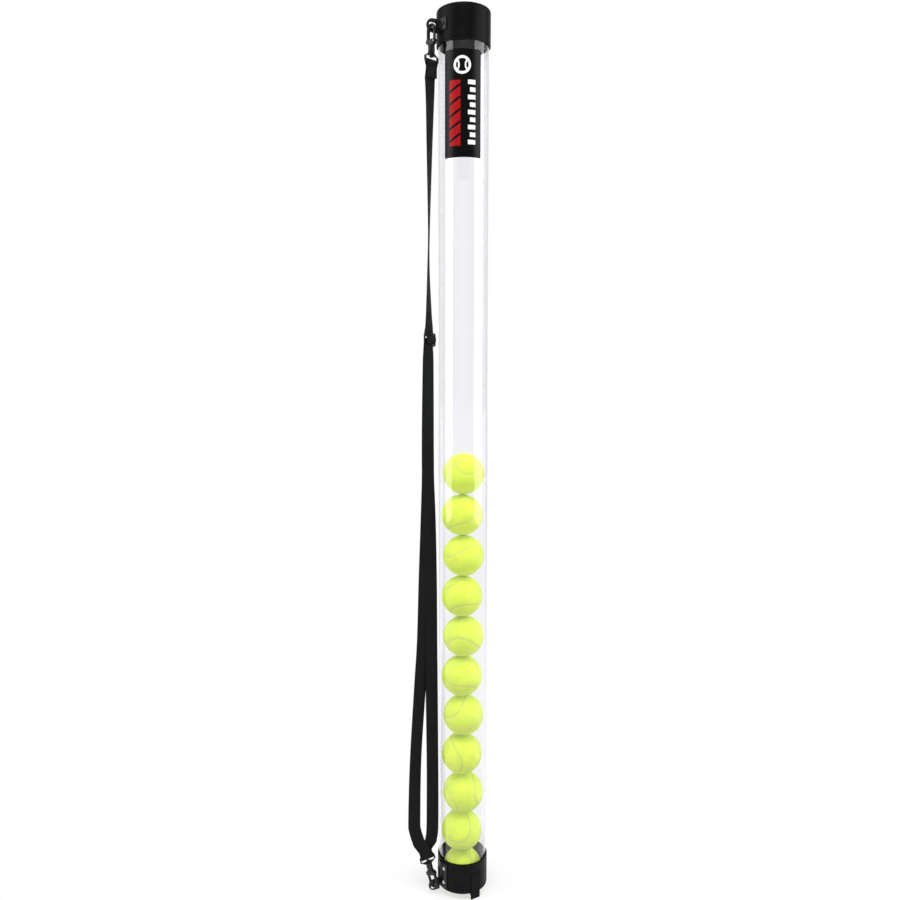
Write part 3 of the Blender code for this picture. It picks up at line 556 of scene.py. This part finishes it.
def ball_tree():
    """Geometry tree for one ball: uneven felt that dips to a rubber seam."""
    tree = new_tree("Felt ball", [
        ("Radius", "NodeSocketFloat", 0.0327), ("Seam width", "NodeSocketFloat", 0.0028),
        ("Felt height", "NodeSocketFloat", 0.0005), ("Seam path", "NodeSocketObject", None),
        ("Turn", "NodeSocketVector", (0.0, 0.0, 0.0)), ("Place", "NodeSocketVector", (0.0, 0.0, 0.0)),
        ("Seed", "NodeSocketFloat", 0.0), ("Felt", "NodeSocketMaterial", None),
        ("Rubber", "NodeSocketMaterial", None),
    ])
    given = tree_node(tree, "NodeGroupInput").outputs
    sphere = tree_node(tree, "GeometryNodeMeshIcoSphere", {"Radius": given["Radius"], "Subdivisions": 6})
    path = tree_node(tree, "GeometryNodeObjectInfo", {"Object": given["Seam path"]})
    near = tree_node(tree, "GeometryNodeProximity", {0: path.outputs["Geometry"]}, target_element="EDGES")
    half = tree_node(tree, "ShaderNodeMath", {0: given["Seam width"], 1: 0.5}, operation="MULTIPLY")
    wide = tree_node(tree, "ShaderNodeMath", {0: given["Seam width"], 1: 1.1}, operation="MULTIPLY")
    dip = tree_node(tree, "ShaderNodeMapRange", {
        "Value": near.outputs["Distance"], "From Min": half.outputs[0], "From Max": wide.outputs[0],
        "To Min": -0.0009, "To Max": 0.0}, interpolation_type="SMOOTHSTEP")
    noise = tree_node(tree, "ShaderNodeTexNoise", {"Scale": 150.0, "Detail": 3.0, "W": given["Seed"]},
                      noise_dimensions="4D")
    lift = tree_node(tree, "ShaderNodeMapRange", {
        "Value": noise.outputs[0], "From Min": 0.25, "From Max": 0.75, "To Min": -1.0, "To Max": 0.0})
    uneven = tree_node(tree, "ShaderNodeMath", {0: lift.outputs["Result"], 1: given["Felt height"]},
                       operation="MULTIPLY")
    height = tree_node(tree, "ShaderNodeMath", {0: dip.outputs["Result"], 1: uneven.outputs[0]},
                       operation="ADD")
    normal = tree_node(tree, "GeometryNodeInputNormal")
    offset = tree_node(tree, "ShaderNodeVectorMath", {0: normal.outputs[0], "Scale": height.outputs[0]},
                       operation="SCALE")
    felt = tree_node(tree, "GeometryNodeSetPosition", {"Geometry": sphere.outputs["Mesh"],
                                                       "Offset": offset.outputs["Vector"]})
    felt = tree_node(tree, "GeometryNodeSetMaterial", {
        "Geometry": felt.outputs[0], "Material": given["Felt"]})
    curve = tree_node(tree, "GeometryNodeMeshToCurve", {"Mesh": path.outputs["Geometry"]})
    profile = tree_node(tree, "GeometryNodeCurvePrimitiveCircle", {
        "Resolution": 8, "Radius": half.outputs[0]})
    seam = tree_node(tree, "GeometryNodeCurveToMesh", {"Curve": curve.outputs["Curve"],
                                                       "Profile Curve": profile.outputs["Curve"]})
    seam = tree_node(tree, "GeometryNodeSetMaterial", {
        "Geometry": seam.outputs[0], "Material": given["Rubber"]})
    join = tree_node(tree, "GeometryNodeJoinGeometry")
    tree.links.new(felt.outputs[0], join.inputs[0])
    tree.links.new(seam.outputs[0], join.inputs[0])
    turn = tree_node(tree, "GeometryNodeTransform", {"Geometry": join.outputs[0], "Rotation": given["Turn"],
                                                     "Translation": given["Place"]})
    smooth = tree_node(tree, "GeometryNodeSetShadeSmooth", {"Geometry": turn.outputs[0]})
    real = tree_node(tree, "GeometryNodeRealizeInstances", {"Geometry": smooth.outputs[0]})
    return closed_tree(tree, real.outputs[0])


def stitch_tree():
    """Geometry tree for stitches: a row of thread ends laid along a path."""
    tree = new_tree("Stitches", [
        ("Spacing", "NodeSocketFloat", 0.0030), ("Stitch length", "NodeSocketFloat", 0.0022),
        ("Thread radius", "NodeSocketFloat", 0.00022), ("Thread", "NodeSocketMaterial", None),
    ])
    given = tree_node(tree, "NodeGroupInput").outputs
    curve = tree_node(tree, "GeometryNodeMeshToCurve", {"Mesh": given["Geometry"]})
    points = tree_node(tree, "GeometryNodeResampleCurve", {"Curve": curve.outputs[0],
                                                           "Length": given["Spacing"]}, mode="LENGTH")
    thread = tree_node(tree, "GeometryNodeMeshUVSphere", {"Segments": 8, "Rings": 5,
                                                          "Radius": given["Thread radius"]})
    ratio = tree_node(tree, "ShaderNodeMath", {0: given["Stitch length"], 1: given["Thread radius"]},
                      operation="DIVIDE")
    half = tree_node(tree, "ShaderNodeMath", {0: ratio.outputs[0], 1: 0.5}, operation="MULTIPLY")
    scale = tree_node(tree, "ShaderNodeCombineXYZ", {0: 1.0, 1: 1.0, 2: half.outputs[0]})
    long = tree_node(tree, "GeometryNodeTransform", {"Geometry": thread.outputs["Mesh"],
                                                     "Scale": scale.outputs[0]})
    tangent = tree_node(tree, "GeometryNodeInputTangent")
    align = tree_node(tree, "FunctionNodeAlignRotationToVector", {"Vector": tangent.outputs[0]}, axis="Z")
    laid = tree_node(tree, "GeometryNodeInstanceOnPoints", {
        "Points": points.outputs[0], "Instance": long.outputs[0], "Rotation": align.outputs[0]})
    return solid_instances(tree, laid.outputs[0], given["Thread"])


def rivet_tree():
    """Geometry tree for rivets: one rivet on each point, standing along the point's outward direction."""
    tree = new_tree("Rivets", [("Rivet", "NodeSocketObject", None), ("Steel", "NodeSocketMaterial", None)])
    given = tree_node(tree, "NodeGroupInput").outputs
    rivet = tree_node(tree, "GeometryNodeObjectInfo", {"Object": given["Rivet"]})
    outward = tree_node(tree, "GeometryNodeInputNamedAttribute", {"Name": "outward"},
                        data_type="FLOAT_VECTOR")
    align = tree_node(tree, "FunctionNodeAlignRotationToVector", {"Vector": outward.outputs[0]}, axis="Z")
    set_on = tree_node(tree, "GeometryNodeInstanceOnPoints", {
        "Points": given["Geometry"], "Instance": rivet.outputs["Geometry"], "Rotation": align.outputs[0]})
    return solid_instances(tree, set_on.outputs[0], given["Steel"])


def seam_path():
    """The closed curve of a tennis ball's seam, as an object of edges just under the felt."""
    radius = BALL_RADIUS - 0.0018
    count = 220
    bm = bmesh.new()
    verts = []
    for i in range(count):
        t = 2 * math.pi * i / count
        spot = Vector((0.75 * math.cos(t) + 0.25 * math.cos(3 * t),
                       0.75 * math.sin(t) - 0.25 * math.sin(3 * t),
                       2 * math.sqrt(0.75 * 0.25) * math.sin(2 * t)))
        verts.append(bm.verts.new(spot.normalized() * radius))
    for i in range(count):
        bm.edges.new((verts[i], verts[(i + 1) % count]))
    mesh = bpy.data.meshes.new("seam_path")
    bm.to_mesh(mesh)
    bm.free()
    return linked("seam_path", mesh)


# How each ball lies in the tube, from the lowest up, as turns about X, Y and Z in degrees
BALL_TURNS = [
    (95, 20, 10), (15, 60, 130), (70, -25, 200), (130, 40, 60), (40, 100, 300), (85, 10, 250),
    (25, -50, 20), (110, 75, 160), (60, 30, 95), (35, 115, 215), (100, -10, 330),
]


class TUBE_OT_balls(bpy.types.Operator):
    """Make the stack of felt balls"""
    bl_idname = "tube.balls"
    bl_label = "Balls"

    def execute(self, context):
        tree = ball_tree()
        path = seam_path()
        felt, rubber = yellow_felt(), seam_rubber()
        for number, degrees in enumerate(BALL_TURNS, start=1):
            node = f"ball_{number:02d}"
            ball = linked(f"felt_{node}", bpy.data.meshes.new(f"felt_{node}"))
            run_tree(ball, tree, {
                "Radius": BALL_RADIUS, "Seam width": sizes().seam_width, "Felt height": sizes().fuzz,
                "Seam path": path, "Turn": [math.radians(d) for d in degrees],
                "Place": list(middle_of(node)), "Seed": float(number), "Felt": felt, "Rubber": rubber})
            settle(ball, "ball_stack", "ball_felt", node)
        bpy.data.objects.remove(path)
        return {"FINISHED"}


class TUBE_OT_tube(bpy.types.Operator):
    """Make the clear tube"""
    bl_idname = "tube.tube"
    bl_label = "Clear tube"

    def execute(self, context):
        low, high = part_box("clear_tube")
        outer = (high[0] - low[0]) / 2
        inner = outer - sizes().wall
        edge = 0.0003
        profile = [(inner, low[2] + edge), (inner + edge, low[2])]
        profile += [(outer - edge, low[2]), (outer, low[2] + edge)]
        steps = 24
        rise = (high[2] - low[2] - 2 * edge) / steps
        profile += [(outer, low[2] + edge + rise * i) for i in range(1, steps)]
        profile += [(outer, high[2] - edge), (outer - edge, high[2]), (inner + edge, high[2])]
        profile += [(inner, high[2] - edge)]
        profile += [(inner, low[2] + edge + rise * i) for i in range(steps - 1, 0, -1)]
        tube = add_piece("tube_shell", turned(profile, 192), [clear_plastic()], 30.0)
        settle(tube, "tube_body", "clear_plastic", "clear_tube")
        return {"FINISHED"}


class TUBE_OT_cap(bpy.types.Operator):
    """Make the cap"""
    bl_idname = "tube.cap"
    bl_label = "Cap"

    def execute(self, context):
        low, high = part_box("top_cap")
        outer = (high[0] - low[0]) / 2
        top, rim = high[2], low[2]
        inner, under = outer - CAP_WALL, top - CAP_TOP_THICKNESS
        ring_low = under - RING_DEPTH + RING_EDGE
        dish = outer - CAP_DISH_RADIUS_IN
        profile = [(0.0, under), (RING_INNER, under)]
        profile += arc((RING_INNER + RING_EDGE, ring_low), RING_EDGE, 180.0, 270.0, 3)
        profile += arc((RING_OUTER - RING_EDGE, ring_low), RING_EDGE, 270.0, 360.0, 3)
        profile += [(RING_OUTER, under), (inner, under), (inner, rim + CAP_RIM_INNER)]
        profile += arc((inner + CAP_RIM_INNER, rim + CAP_RIM_INNER), CAP_RIM_INNER, 180.0, 270.0, 3)
        profile += arc((outer - CAP_RIM_OUTER, rim + CAP_RIM_OUTER), CAP_RIM_OUTER, 270.0, 360.0, 4)
        profile += [(outer, rim + rise * 0.001) for rise in (3, 12, 24, 36, 45)]
        profile += arc((outer - CAP_EDGE, top - CAP_EDGE), CAP_EDGE, 0.0, 90.0, 8)
        profile += [(dish, top - 0.00005), (dish - CAP_DISH_SLOPE, top - CAP_DISH_DEPTH)]
        profile += [(0.0, top - CAP_DISH_DEPTH)]
        cap = add_piece("cap_shell", turned(profile, 144), [moulded_black("cap_black", 0.36, 2400.0)], 32.0)
        settle(cap, "cap_body", "cap_plastic", "top_cap")
        return {"FINISHED"}


class TUBE_OT_collar(bpy.types.Operator):
    """Make the collar and its three fingers"""
    bl_idname = "tube.collar"
    bl_label = "Collar and fingers"

    def execute(self, context):
        black = moulded_black("collar_black", 0.40, 2200.0)
        collar = copied("bottom_collar", "collar_shell", [black], COLLAR_VOXEL, 2)
        settle(collar, "tube_body", "cap_plastic", "bottom_collar")
        finger_black = moulded_black("finger_black", 0.44, 2600.0)
        for number in (1, 2, 3):
            node = f"retaining_finger_{number}"
            finger = copied(node, f"finger_{number}", [finger_black], CASTING_VOXEL)
            settle(finger, f"finger_{number}_body", "finger_plastic", node)
        return {"FINISHED"}


class TUBE_OT_hardware(bpy.types.Operator):
    """Make the lugs, snap hooks, strap eyes and slider"""
    bl_idname = "tube.hardware"
    bl_label = "Lugs, hooks and slider"

    def execute(self, context):
        coated, steel = coated_metal(), bright_steel()
        slider_black = moulded_black("slider_black", 0.34, 2500.0)
        for end, holder in (("cap", "cap_body"), ("collar", "tube_body")):
            lug = copied(f"{end}_lug", f"{end}_lug_plate", [coated], LUG_VOXEL)
            settle(lug, holder, "lug_black", f"{end}_lug")
        for end, holder in (("cap", "cap_body"), ("collar", "tube_body")):
            hook = copied(f"{end}_hook_frame", f"{end}_hook_bow", [coated], CASTING_VOXEL)
            settle(hook, f"{end}_hook_body", "hook_black", f"{end}_hook_frame")
            gate = copied(f"{end}_gate", f"{end}_hook_gate", [coated], GATE_VOXEL)
            settle(gate, f"{end}_gate_body", "hook_black", f"{end}_gate")
            eye = copied(f"{end}_eye", f"{end}_strap_eye", [coated], CASTING_VOXEL, 5)
            settle(eye, holder, "hook_black", f"{end}_eye")
            for detail in ("gate_pin", "gate_spring"):
                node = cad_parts[f"{end}_{detail}"]
                node.data.materials.clear()
                node.data.materials.append(steel)
        slider = copied("strap_slider", "slider_frame", [slider_black], CASTING_VOXEL, 4)
        settle(slider, "slider_body", "slider_plastic", "strap_slider")
        self.rivets(context, coated, steel)
        return {"FINISHED"}

    def rivets(self, context, coated, steel):
        """Set the domed rivets through the lugs' pads, a blackened one on the cap and bright ones below."""
        dome = arc((0.0, -0.0012), 0.0030, 24.0, 90.0, 8)
        profile = [(0.0, -0.0030), (0.0013, -0.0030), (0.0013, 0.0), (0.0028, 0.0), (0.0028, 0.0001)]
        profile += dome[:-1] + [(0.0006, dome[-1][1] - 0.0001), (0.0, dome[-1][1] - 0.0003)]
        model = add_piece("rivet_model", turned(profile, 32, 0.0), [steel], 50.0)
        tree = rivet_tree()
        groups = {"cap_body": ["cap_lug_rivet_1"],
                  "tube_body": ["collar_lug_rivet_1", "collar_lug_rivet_2"]}
        for body, nodes in groups.items():
            mesh = bpy.data.meshes.new(f"{body}_rivets")
            spots = []
            for node in nodes:
                height = middle_of(node).z
                out = front_direction(LUG_ANGLE)
                reach = max((vert.co - Vector((AXIS_X, 0.0, height))).dot(out)
                            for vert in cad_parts[node].data.vertices)
                spots.append((Vector((AXIS_X, 0.0, height)) + out * (reach - RIVET_STANDS), out))
            mesh.from_pydata([spot for spot, out in spots], [], [])
            outward = mesh.attributes.new("outward", "FLOAT_VECTOR", "POINT")
            for i, (spot, out) in enumerate(spots):
                outward.data[i].vector = out
            rivets = linked(f"{body}_rivets", mesh)
            run_tree(rivets, tree, {"Rivet": model, "Steel": coated if body == "cap_body" else steel})
            settle(rivets, body, "rivet_steel", *nodes)
        bpy.data.objects.remove(model)


def strap_direction(angle):
    """Width direction of a hanging strap, turned from the front's left-to-right line."""
    turn = math.radians(angle)
    return Vector((math.cos(turn), math.sin(turn), 0.0))


def smoothed(stations, steps):
    """Catmull-Rom stations between the given ones."""
    result = []
    last = len(stations) - 1
    for i in range(last):
        p0, p1, p2, p3 = (stations[min(max(k, 0), last)] for k in (i - 1, i, i + 1, i + 2))
        for step in range(steps):
            t = step / steps
            mixed = []
            for a, b, c, d in zip(p0, p1, p2, p3):
                mixed.append(0.5 * (2 * b + (c - a) * t + (2 * a - 5 * b + 4 * c - d) * t * t
                                    + (3 * b - a - 3 * c + d) * t * t * t))
            result.append(tuple(mixed))
    result.append(stations[last])
    return result


def placed(place, points):
    """Strap stations from (n, w) points in the plane across a placement."""
    across = (place.to_3x3() @ Vector((1.0, 0.0, 0.0))).normalized()
    return [(place @ Vector((0.0, n, w)), across) for n, w in points]


def hanging(run):
    """Strap stations of a free run."""
    return [(Vector((x + AXIS_X, y, z)), strap_direction(turn)) for x, y, z, turn in smoothed(run, 5)]


def around_bar(rise, first, last, radius=0.0030):
    """Points of a strap that turns round an eye's bar, from one face to the other."""
    turn = arc((0.0, EYE_BAR_W), radius, first, last, 8)
    return [(turn[0][0], EYE_BAR_W - rise)] + turn + [(turn[-1][0], EYE_BAR_W - rise)]


# One side of the webbing's section, as shares of half its width and half its thickness
STRAP_FACE = [(-0.985, 0.62), (-0.95, 0.96), (-0.90, 1.0), (-0.60, 0.92), (-0.2, 0.88), (0.2, 0.88),
              (0.60, 0.92), (0.90, 1.0), (0.95, 0.96), (0.985, 0.62)]


def refined(stations):
    """Stations with one more between each two."""
    flat = [(*center, *across) for center, across in stations]
    return [(Vector(values[:3]), Vector(values[3:])) for values in smoothed(flat, 2)]


def webbing_strip(name, stations, mat, start=0.0):
    """Webbing through its stations, with its weave map: U across and V in metres along."""
    width, thickness = sizes().strap_width, sizes().strap_thickness
    section = STRAP_FACE + [(1.0, 0.0)] + [(a, -b) for a, b in reversed(STRAP_FACE)] + [(-1.0, 0.0)]
    bm = bmesh.new()
    layer = bm.loops.layers.uv.new("weave")
    rings, lengths, length = [], [], start
    for i, (center, across) in enumerate(stations):
        before = stations[max(i - 1, 0)][0]
        after = stations[min(i + 1, len(stations) - 1)][0]
        tangent = (after - before).normalized()
        side = (across - across.dot(tangent) * tangent).normalized()
        face = tangent.cross(side)
        if i:
            length += (center - stations[i - 1][0]).length
        lengths.append(length)
        rings.append([bm.verts.new(center + side * (a * width / 2) + face * (b * thickness / 2))
                      for a, b in section])
    count = len(section)
    for i in range(len(rings) - 1):
        for k in range(count):
            j = (k + 1) % count
            made = bm.faces.new((rings[i][k], rings[i][j], rings[i + 1][j], rings[i + 1][k]))
            for loop, (spot, row) in zip(made.loops, ((k, i), (j, i), (j, i + 1), (k, i + 1))):
                loop[layer].uv = ((section[spot][0] + 1) / 2, lengths[row])
    for ring, row in ((rings[0], 0), (rings[-1], -1)):
        made = bm.faces.new(ring)
        for loop in made.loops:
            loop[layer].uv = (0.5, lengths[row])
    return add_piece(name, bm, [mat], 60.0), length


class TUBE_OT_strap(bpy.types.Operator):
    """Make the shoulder strap and its stitching"""
    bl_idname = "tube.strap"
    bl_label = "Shoulder strap"

    def execute(self, context):
        webbing = woven_webbing()
        shift = Vector((AXIS_X, 0.0, 0.0))
        cap_eye = frame_from(CAP_CROSSING + shift - UP * HOOK_TOP_W, UP, strap_direction(CAP_EYE_TURN))
        collar_origin = COLLAR_CROSSING + shift - COLLAR_HOOK_AXIS.normalized() * HOOK_TOP_W
        collar_eye = frame_from(collar_origin, COLLAR_HOOK_AXIS, COLLAR_EYE_ACROSS)
        slider = frame_from(middle_of("strap_slider"), UP, strap_direction(SLIDER_TURN))
        tail = [(-FOLD_HALF, EYE_BAR_W - 0.0220), (-FOLD_HALF, SEWN_HIGH_W)]
        upper = placed(cap_eye, tail + around_bar(0.0015, 180.0, 0.0) + [(FOLD_HALF, SEWN_HIGH_W)])
        upper += hanging(UPPER_RUN) + placed(slider, SLIDER_PASS)
        upper = refined(upper)
        split = next(i for i, (center, across) in enumerate(upper) if i > 40 and center.z < STRAP_SPLIT_Z)
        top, length = webbing_strip("strap_top", upper[:split + 1], webbing)
        low, length = webbing_strip("strap_middle", upper[split:], webbing, length)
        loop = placed(slider, [(0.0019, -0.0143)]) + hanging(FRONT_RUN)
        loop += placed(collar_eye, around_bar(0.0080, 0.0, 180.0, 0.0041)) + hanging(REAR_RUN)
        wrap = arc((0.0, 0.0), 0.0024, 0.0, 250.0, 10)
        loop += placed(slider, [(0.0036, -0.0110), (0.0033, -0.0055), (0.0026, -0.0016)] + wrap)
        lower, length = webbing_strip("strap_loop", refined(loop), webbing)
        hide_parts("webbing_upper")
        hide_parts("webbing_loop")
        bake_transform(top)
        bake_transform(low)
        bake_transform(lower)
        self.stitching(cap_eye)
        return {"FINISHED"}

    def stitching(self, place):
        """Sew the doubled end of the strap below the cap's eye with a boxed cross."""
        high, low, half = SEWN_HIGH_W, SEWN_LOW_W, SEWN_HALF
        thread = stitching_thread()
        tree = stitch_tree()
        corners = [(-half, low), (half, low), (half, high), (-half, high), (-half, low), (half, high)]
        for number, level in enumerate(SEWN_LEVELS, start=1):
            path = [place @ Vector((s, level, w)) for s, w in corners]
            mesh = bpy.data.meshes.new(f"strap_stitches_{number}")
            mesh.from_pydata(path, [(i, i + 1) for i in range(len(path) - 1)], [])
            stitches = linked(f"strap_stitches_{number}", mesh)
            run_tree(stitches, tree, {"Stitch length": sizes().stitch, "Thread": thread})
            settle(stitches, "cap_body", "webbing")


def label_point(u, v, radius):
    """A point on the label from u across it and v up it, in metres from its middle."""
    low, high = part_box("label")
    middle = (LABEL_LEFT + LABEL_RIGHT) / 2
    out = front_direction(middle + math.degrees(u / radius))
    return Vector((AXIS_X, 0.0, (low[2] + high[2]) / 2 + v)) + out * radius


def label_patch(bm, outline, inner, outer, slot):
    """A closed patch of ink or film on the tube, between two radii and inside an outline."""
    fronts = [bm.verts.new(label_point(u, v, outer)) for u, v in outline]
    backs = [bm.verts.new(label_point(u, v, inner)) for u, v in outline]
    made = [bm.faces.new(fronts), bm.faces.new(list(reversed(backs)))]
    count = len(outline)
    for i in range(count):
        j = (i + 1) % count
        made.append(bm.faces.new((fronts[j], fronts[i], backs[i], backs[j])))
    for face in made:
        face.material_index = slot


def strips(left, right, low, high, cell=0.0025):
    """Narrow upright outlines that fill a rectangle, so that each one stays on the round."""
    count = max(1, math.ceil((right - left) / cell))
    step = (right - left) / count
    return [[(left + i * step, low), (left + (i + 1) * step, low), (left + (i + 1) * step, high),
             (left + i * step, high)] for i in range(count)]


def band(points, width):
    """Short outlines along a bent line of the given width."""
    made = []
    for (ax, ay), (bx, by) in zip(points, points[1:]):
        run = math.hypot(bx - ax, by - ay)
        nx, ny = (ay - by) / run * width / 2, (bx - ax) / run * width / 2
        made.append([(ax - nx, ay - ny), (bx - nx, by - ny), (bx + nx, by + ny), (ax + nx, ay + ny)])
    return made


class TUBE_OT_label(bpy.types.Operator):
    """Make the label and its plain print"""
    bl_idname = "tube.label"
    bl_label = "Label"

    def execute(self, context):
        low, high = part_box("label")
        ink = FILM_OUTER + INK_RISE
        half_width = math.radians(LABEL_RIGHT - LABEL_LEFT) / 2 * FILM_OUTER
        half_height = (high[2] - low[2]) / 2
        bm = bmesh.new()
        for outline in strips(-half_width, half_width, -half_height, half_height):
            label_patch(bm, outline, FILM_INNER, FILM_OUTER, 0)
        white = band(arc((-0.0005, EMBLEM_V), EMBLEM_RADIUS, 0.0, 360.0, 40), EMBLEM_WIDTH)
        for u, start, end in ((-0.0165, -40.0, 40.0), (0.0155, 140.0, 220.0)):
            white += band(arc((u, EMBLEM_V), EMBLEM_RADIUS, start, end, 10), EMBLEM_BAR_WIDTH)
        for number in range(9):
            reach = BAR_SHORT if number % 2 else BAR_LONG
            rise = BAR_TOP - number * BAR_PITCH
            white += strips(BAR_RIGHT - reach, BAR_RIGHT, rise - BAR_HALF, rise + BAR_HALF)
        dark = []
        for number in range(5):
            foot = GAP_FOOT + number * GAP_PITCH
            points = [(PANEL[0] + GAP_STEP[0] * i, foot + GAP_STEP[1] * i) for i in range(6)]
            dark += band(points, GAP_WIDTH)
        for outlines, slot, reach in ((white, 1, ink), (strips(*PANEL), 2, ink), (dark, 0, ink + INK_RISE)):
            for outline in outlines:
                label_patch(bm, outline, FILM_OUTER - INK_ROOT, reach, slot)
        films = [printed_film("label_black", (0.003, 0.0027, 0.0033), 0.26),
                 printed_film("label_white", (0.86, 0.86, 0.85), 0.32),
                 printed_film("label_red", tuple(colours().red), 0.30)]
        label = add_piece("label_film", bm, films, 30.0)
        settle(label, "tube_body", "label_print", "label")
        return {"FINISHED"}


def area_light(name, place, target, size, power):
    """A soft rectangular lamp that looks at a point."""
    data = bpy.data.lights.new(name, "AREA")
    data.shape = "RECTANGLE"
    data.size, data.size_y = size
    data.energy = power
    lamp = linked(name, data)
    lamp.location = place
    lamp.rotation_euler = (Vector(target) - Vector(place)).to_track_quat("-Z", "Y").to_euler()


class TUBE_OT_stage(bpy.types.Operator):
    """Make the floor, the lamps, the world and the camera"""
    bl_idname = "tube.stage"
    bl_label = "Stage"

    def execute(self, context):
        self.floor()
        self.world(context)
        for lamp in LAMPS:
            area_light(*lamp)
        camera = linked("camera", bpy.data.cameras.new("camera"))
        camera.data.lens = CAMERA_LENS
        camera.data.sensor_width = 36.0
        camera.location = CAMERA_PLACE
        camera.rotation_euler = (math.radians(CAMERA_TILT), 0.0, 0.0)
        context.scene.camera = camera
        context.scene.view_settings.view_transform = "Standard"
        return {"FINISHED"}

    def floor(self):
        """A pale floor that turns to plain white away from the part."""
        bm = bmesh.new()
        bmesh.ops.create_grid(bm, x_segments=8, y_segments=8, size=12.0)
        finish = Finish("pale_floor")
        place = finish.place()
        far = finish.add("ShaderNodeVectorMath", {0: place}, operation="LENGTH").outputs["Value"]
        speckle = finish.noise(place, 180.0, 3.0)
        color = finish.mixed(speckle, (0.93, 0.93, 0.93, 1.0), (0.95, 0.95, 0.95, 1.0))
        finish.set(Base_Color=color, Roughness=0.7)
        glow = finish.add("ShaderNodeEmission", {"Color": (1.0, 1.0, 1.0, 1.0), "Strength": 1.0})
        path = finish.add("ShaderNodeLightPath")
        seen = finish.math("MAXIMUM", path.outputs["Is Camera Ray"], path.outputs["Is Transmission Ray"])
        share = finish.math("MULTIPLY", seen, finish.spread(far, 0.60, 1.0, 0.04, 0.36))
        mix = finish.add("ShaderNodeMixShader", {0: share, 1: finish.shader.outputs["BSDF"],
                                                 2: glow.outputs["Emission"]})
        finish.tree.links.new(mix.outputs["Shader"], finish.output.inputs["Surface"])
        add_piece("floor", bm, [finish.material])

    def world(self, context):
        """White behind the part and seen through it, dimmer in front, and softest from below."""
        world = bpy.data.worlds.new("studio")
        world.use_nodes = True
        tree = world.node_tree
        shade = tree.nodes["Background"]
        shade.inputs["Color"].default_value = (1.0, 1.0, 1.0, 1.0)
        path = tree.nodes.new("ShaderNodeLightPath")
        toward = tree.nodes.new("ShaderNodeTexCoord")
        split = tree.nodes.new("ShaderNodeSeparateXYZ")
        tree.links.new(toward.outputs["Generated"], split.inputs["Vector"])
        level = self.ramp(tree, split.outputs["Z"], (-1.0, 1.0), (0.28, 0.60))
        mirrored = self.ramp(tree, split.outputs["Y"], (0.45, 1.0), (0.10, 1.0))
        level = self.either(tree, path.outputs["Is Glossy Ray"], level, mirrored)
        sideways = tree.nodes.new("ShaderNodeMath")
        sideways.operation = "ABSOLUTE"
        tree.links.new(split.outputs["X"], sideways.inputs[0])
        through = self.ramp(tree, sideways.outputs[0], (0.12, 0.70), (1.0, 0.74))
        level = self.either(tree, path.outputs["Is Transmission Ray"], level, through)
        one = tree.nodes.new("ShaderNodeValue")
        one.outputs[0].default_value = 1.0
        level = self.either(tree, path.outputs["Is Camera Ray"], level, one.outputs[0])
        tree.links.new(level, shade.inputs["Strength"])
        context.scene.world = world

    def ramp(self, tree, value, given, wanted):
        """A value from one range mapped to another."""
        made = tree.nodes.new("ShaderNodeMapRange")
        made.inputs["From Min"].default_value, made.inputs["From Max"].default_value = given
        made.inputs["To Min"].default_value, made.inputs["To Max"].default_value = wanted
        tree.links.new(value, made.inputs["Value"])
        return made.outputs["Result"]

    def either(self, tree, which, first, second):
        """The first value, or the second where which is one."""
        made = tree.nodes.new("ShaderNodeMix")
        made.data_type = "FLOAT"
        tree.links.new(which, made.inputs[0])
        tree.links.new(first, made.inputs[2])
        tree.links.new(second, made.inputs[3])
        return made.outputs[0]


STEPS = (TUBE_OT_tube, TUBE_OT_cap, TUBE_OT_collar, TUBE_OT_hardware, TUBE_OT_strap, TUBE_OT_label,
         TUBE_OT_balls, TUBE_OT_stage)


class TUBE_PT_panel(bpy.types.Panel):
    """Lists the pieces in the sidebar"""
    bl_idname = "TUBE_PT_panel"
    bl_label = "Pick-up Tube"
    bl_space_type = "VIEW_3D"
    bl_region_type = "UI"
    bl_category = "Pick-up Tube"

    def draw(self, context):
        for step in STEPS:
            self.layout.operator(step.bl_idname)
        for group in (context.scene.tube_sizes, context.scene.tube_colours):
            for name in group.__annotations__:
                self.layout.prop(group, name)


CLASSES = (TubeColours, TubeSizes, *STEPS, TUBE_PT_panel)


def register():
    for cls in CLASSES:
        bpy.utils.register_class(cls)
    bpy.types.Scene.tube_colours = bpy.props.PointerProperty(type=TubeColours)
    bpy.types.Scene.tube_sizes = bpy.props.PointerProperty(type=TubeSizes)


def unregister():
    del bpy.types.Scene.tube_sizes
    del bpy.types.Scene.tube_colours
    for cls in reversed(CLASSES):
        bpy.utils.unregister_class(cls)


def main():
    """Build every piece in order."""
    register()
    for step in STEPS:
        group, name = step.bl_idname.split(".")
        getattr(getattr(bpy.ops, group), name)()


if __name__ == "__main__":
    main()
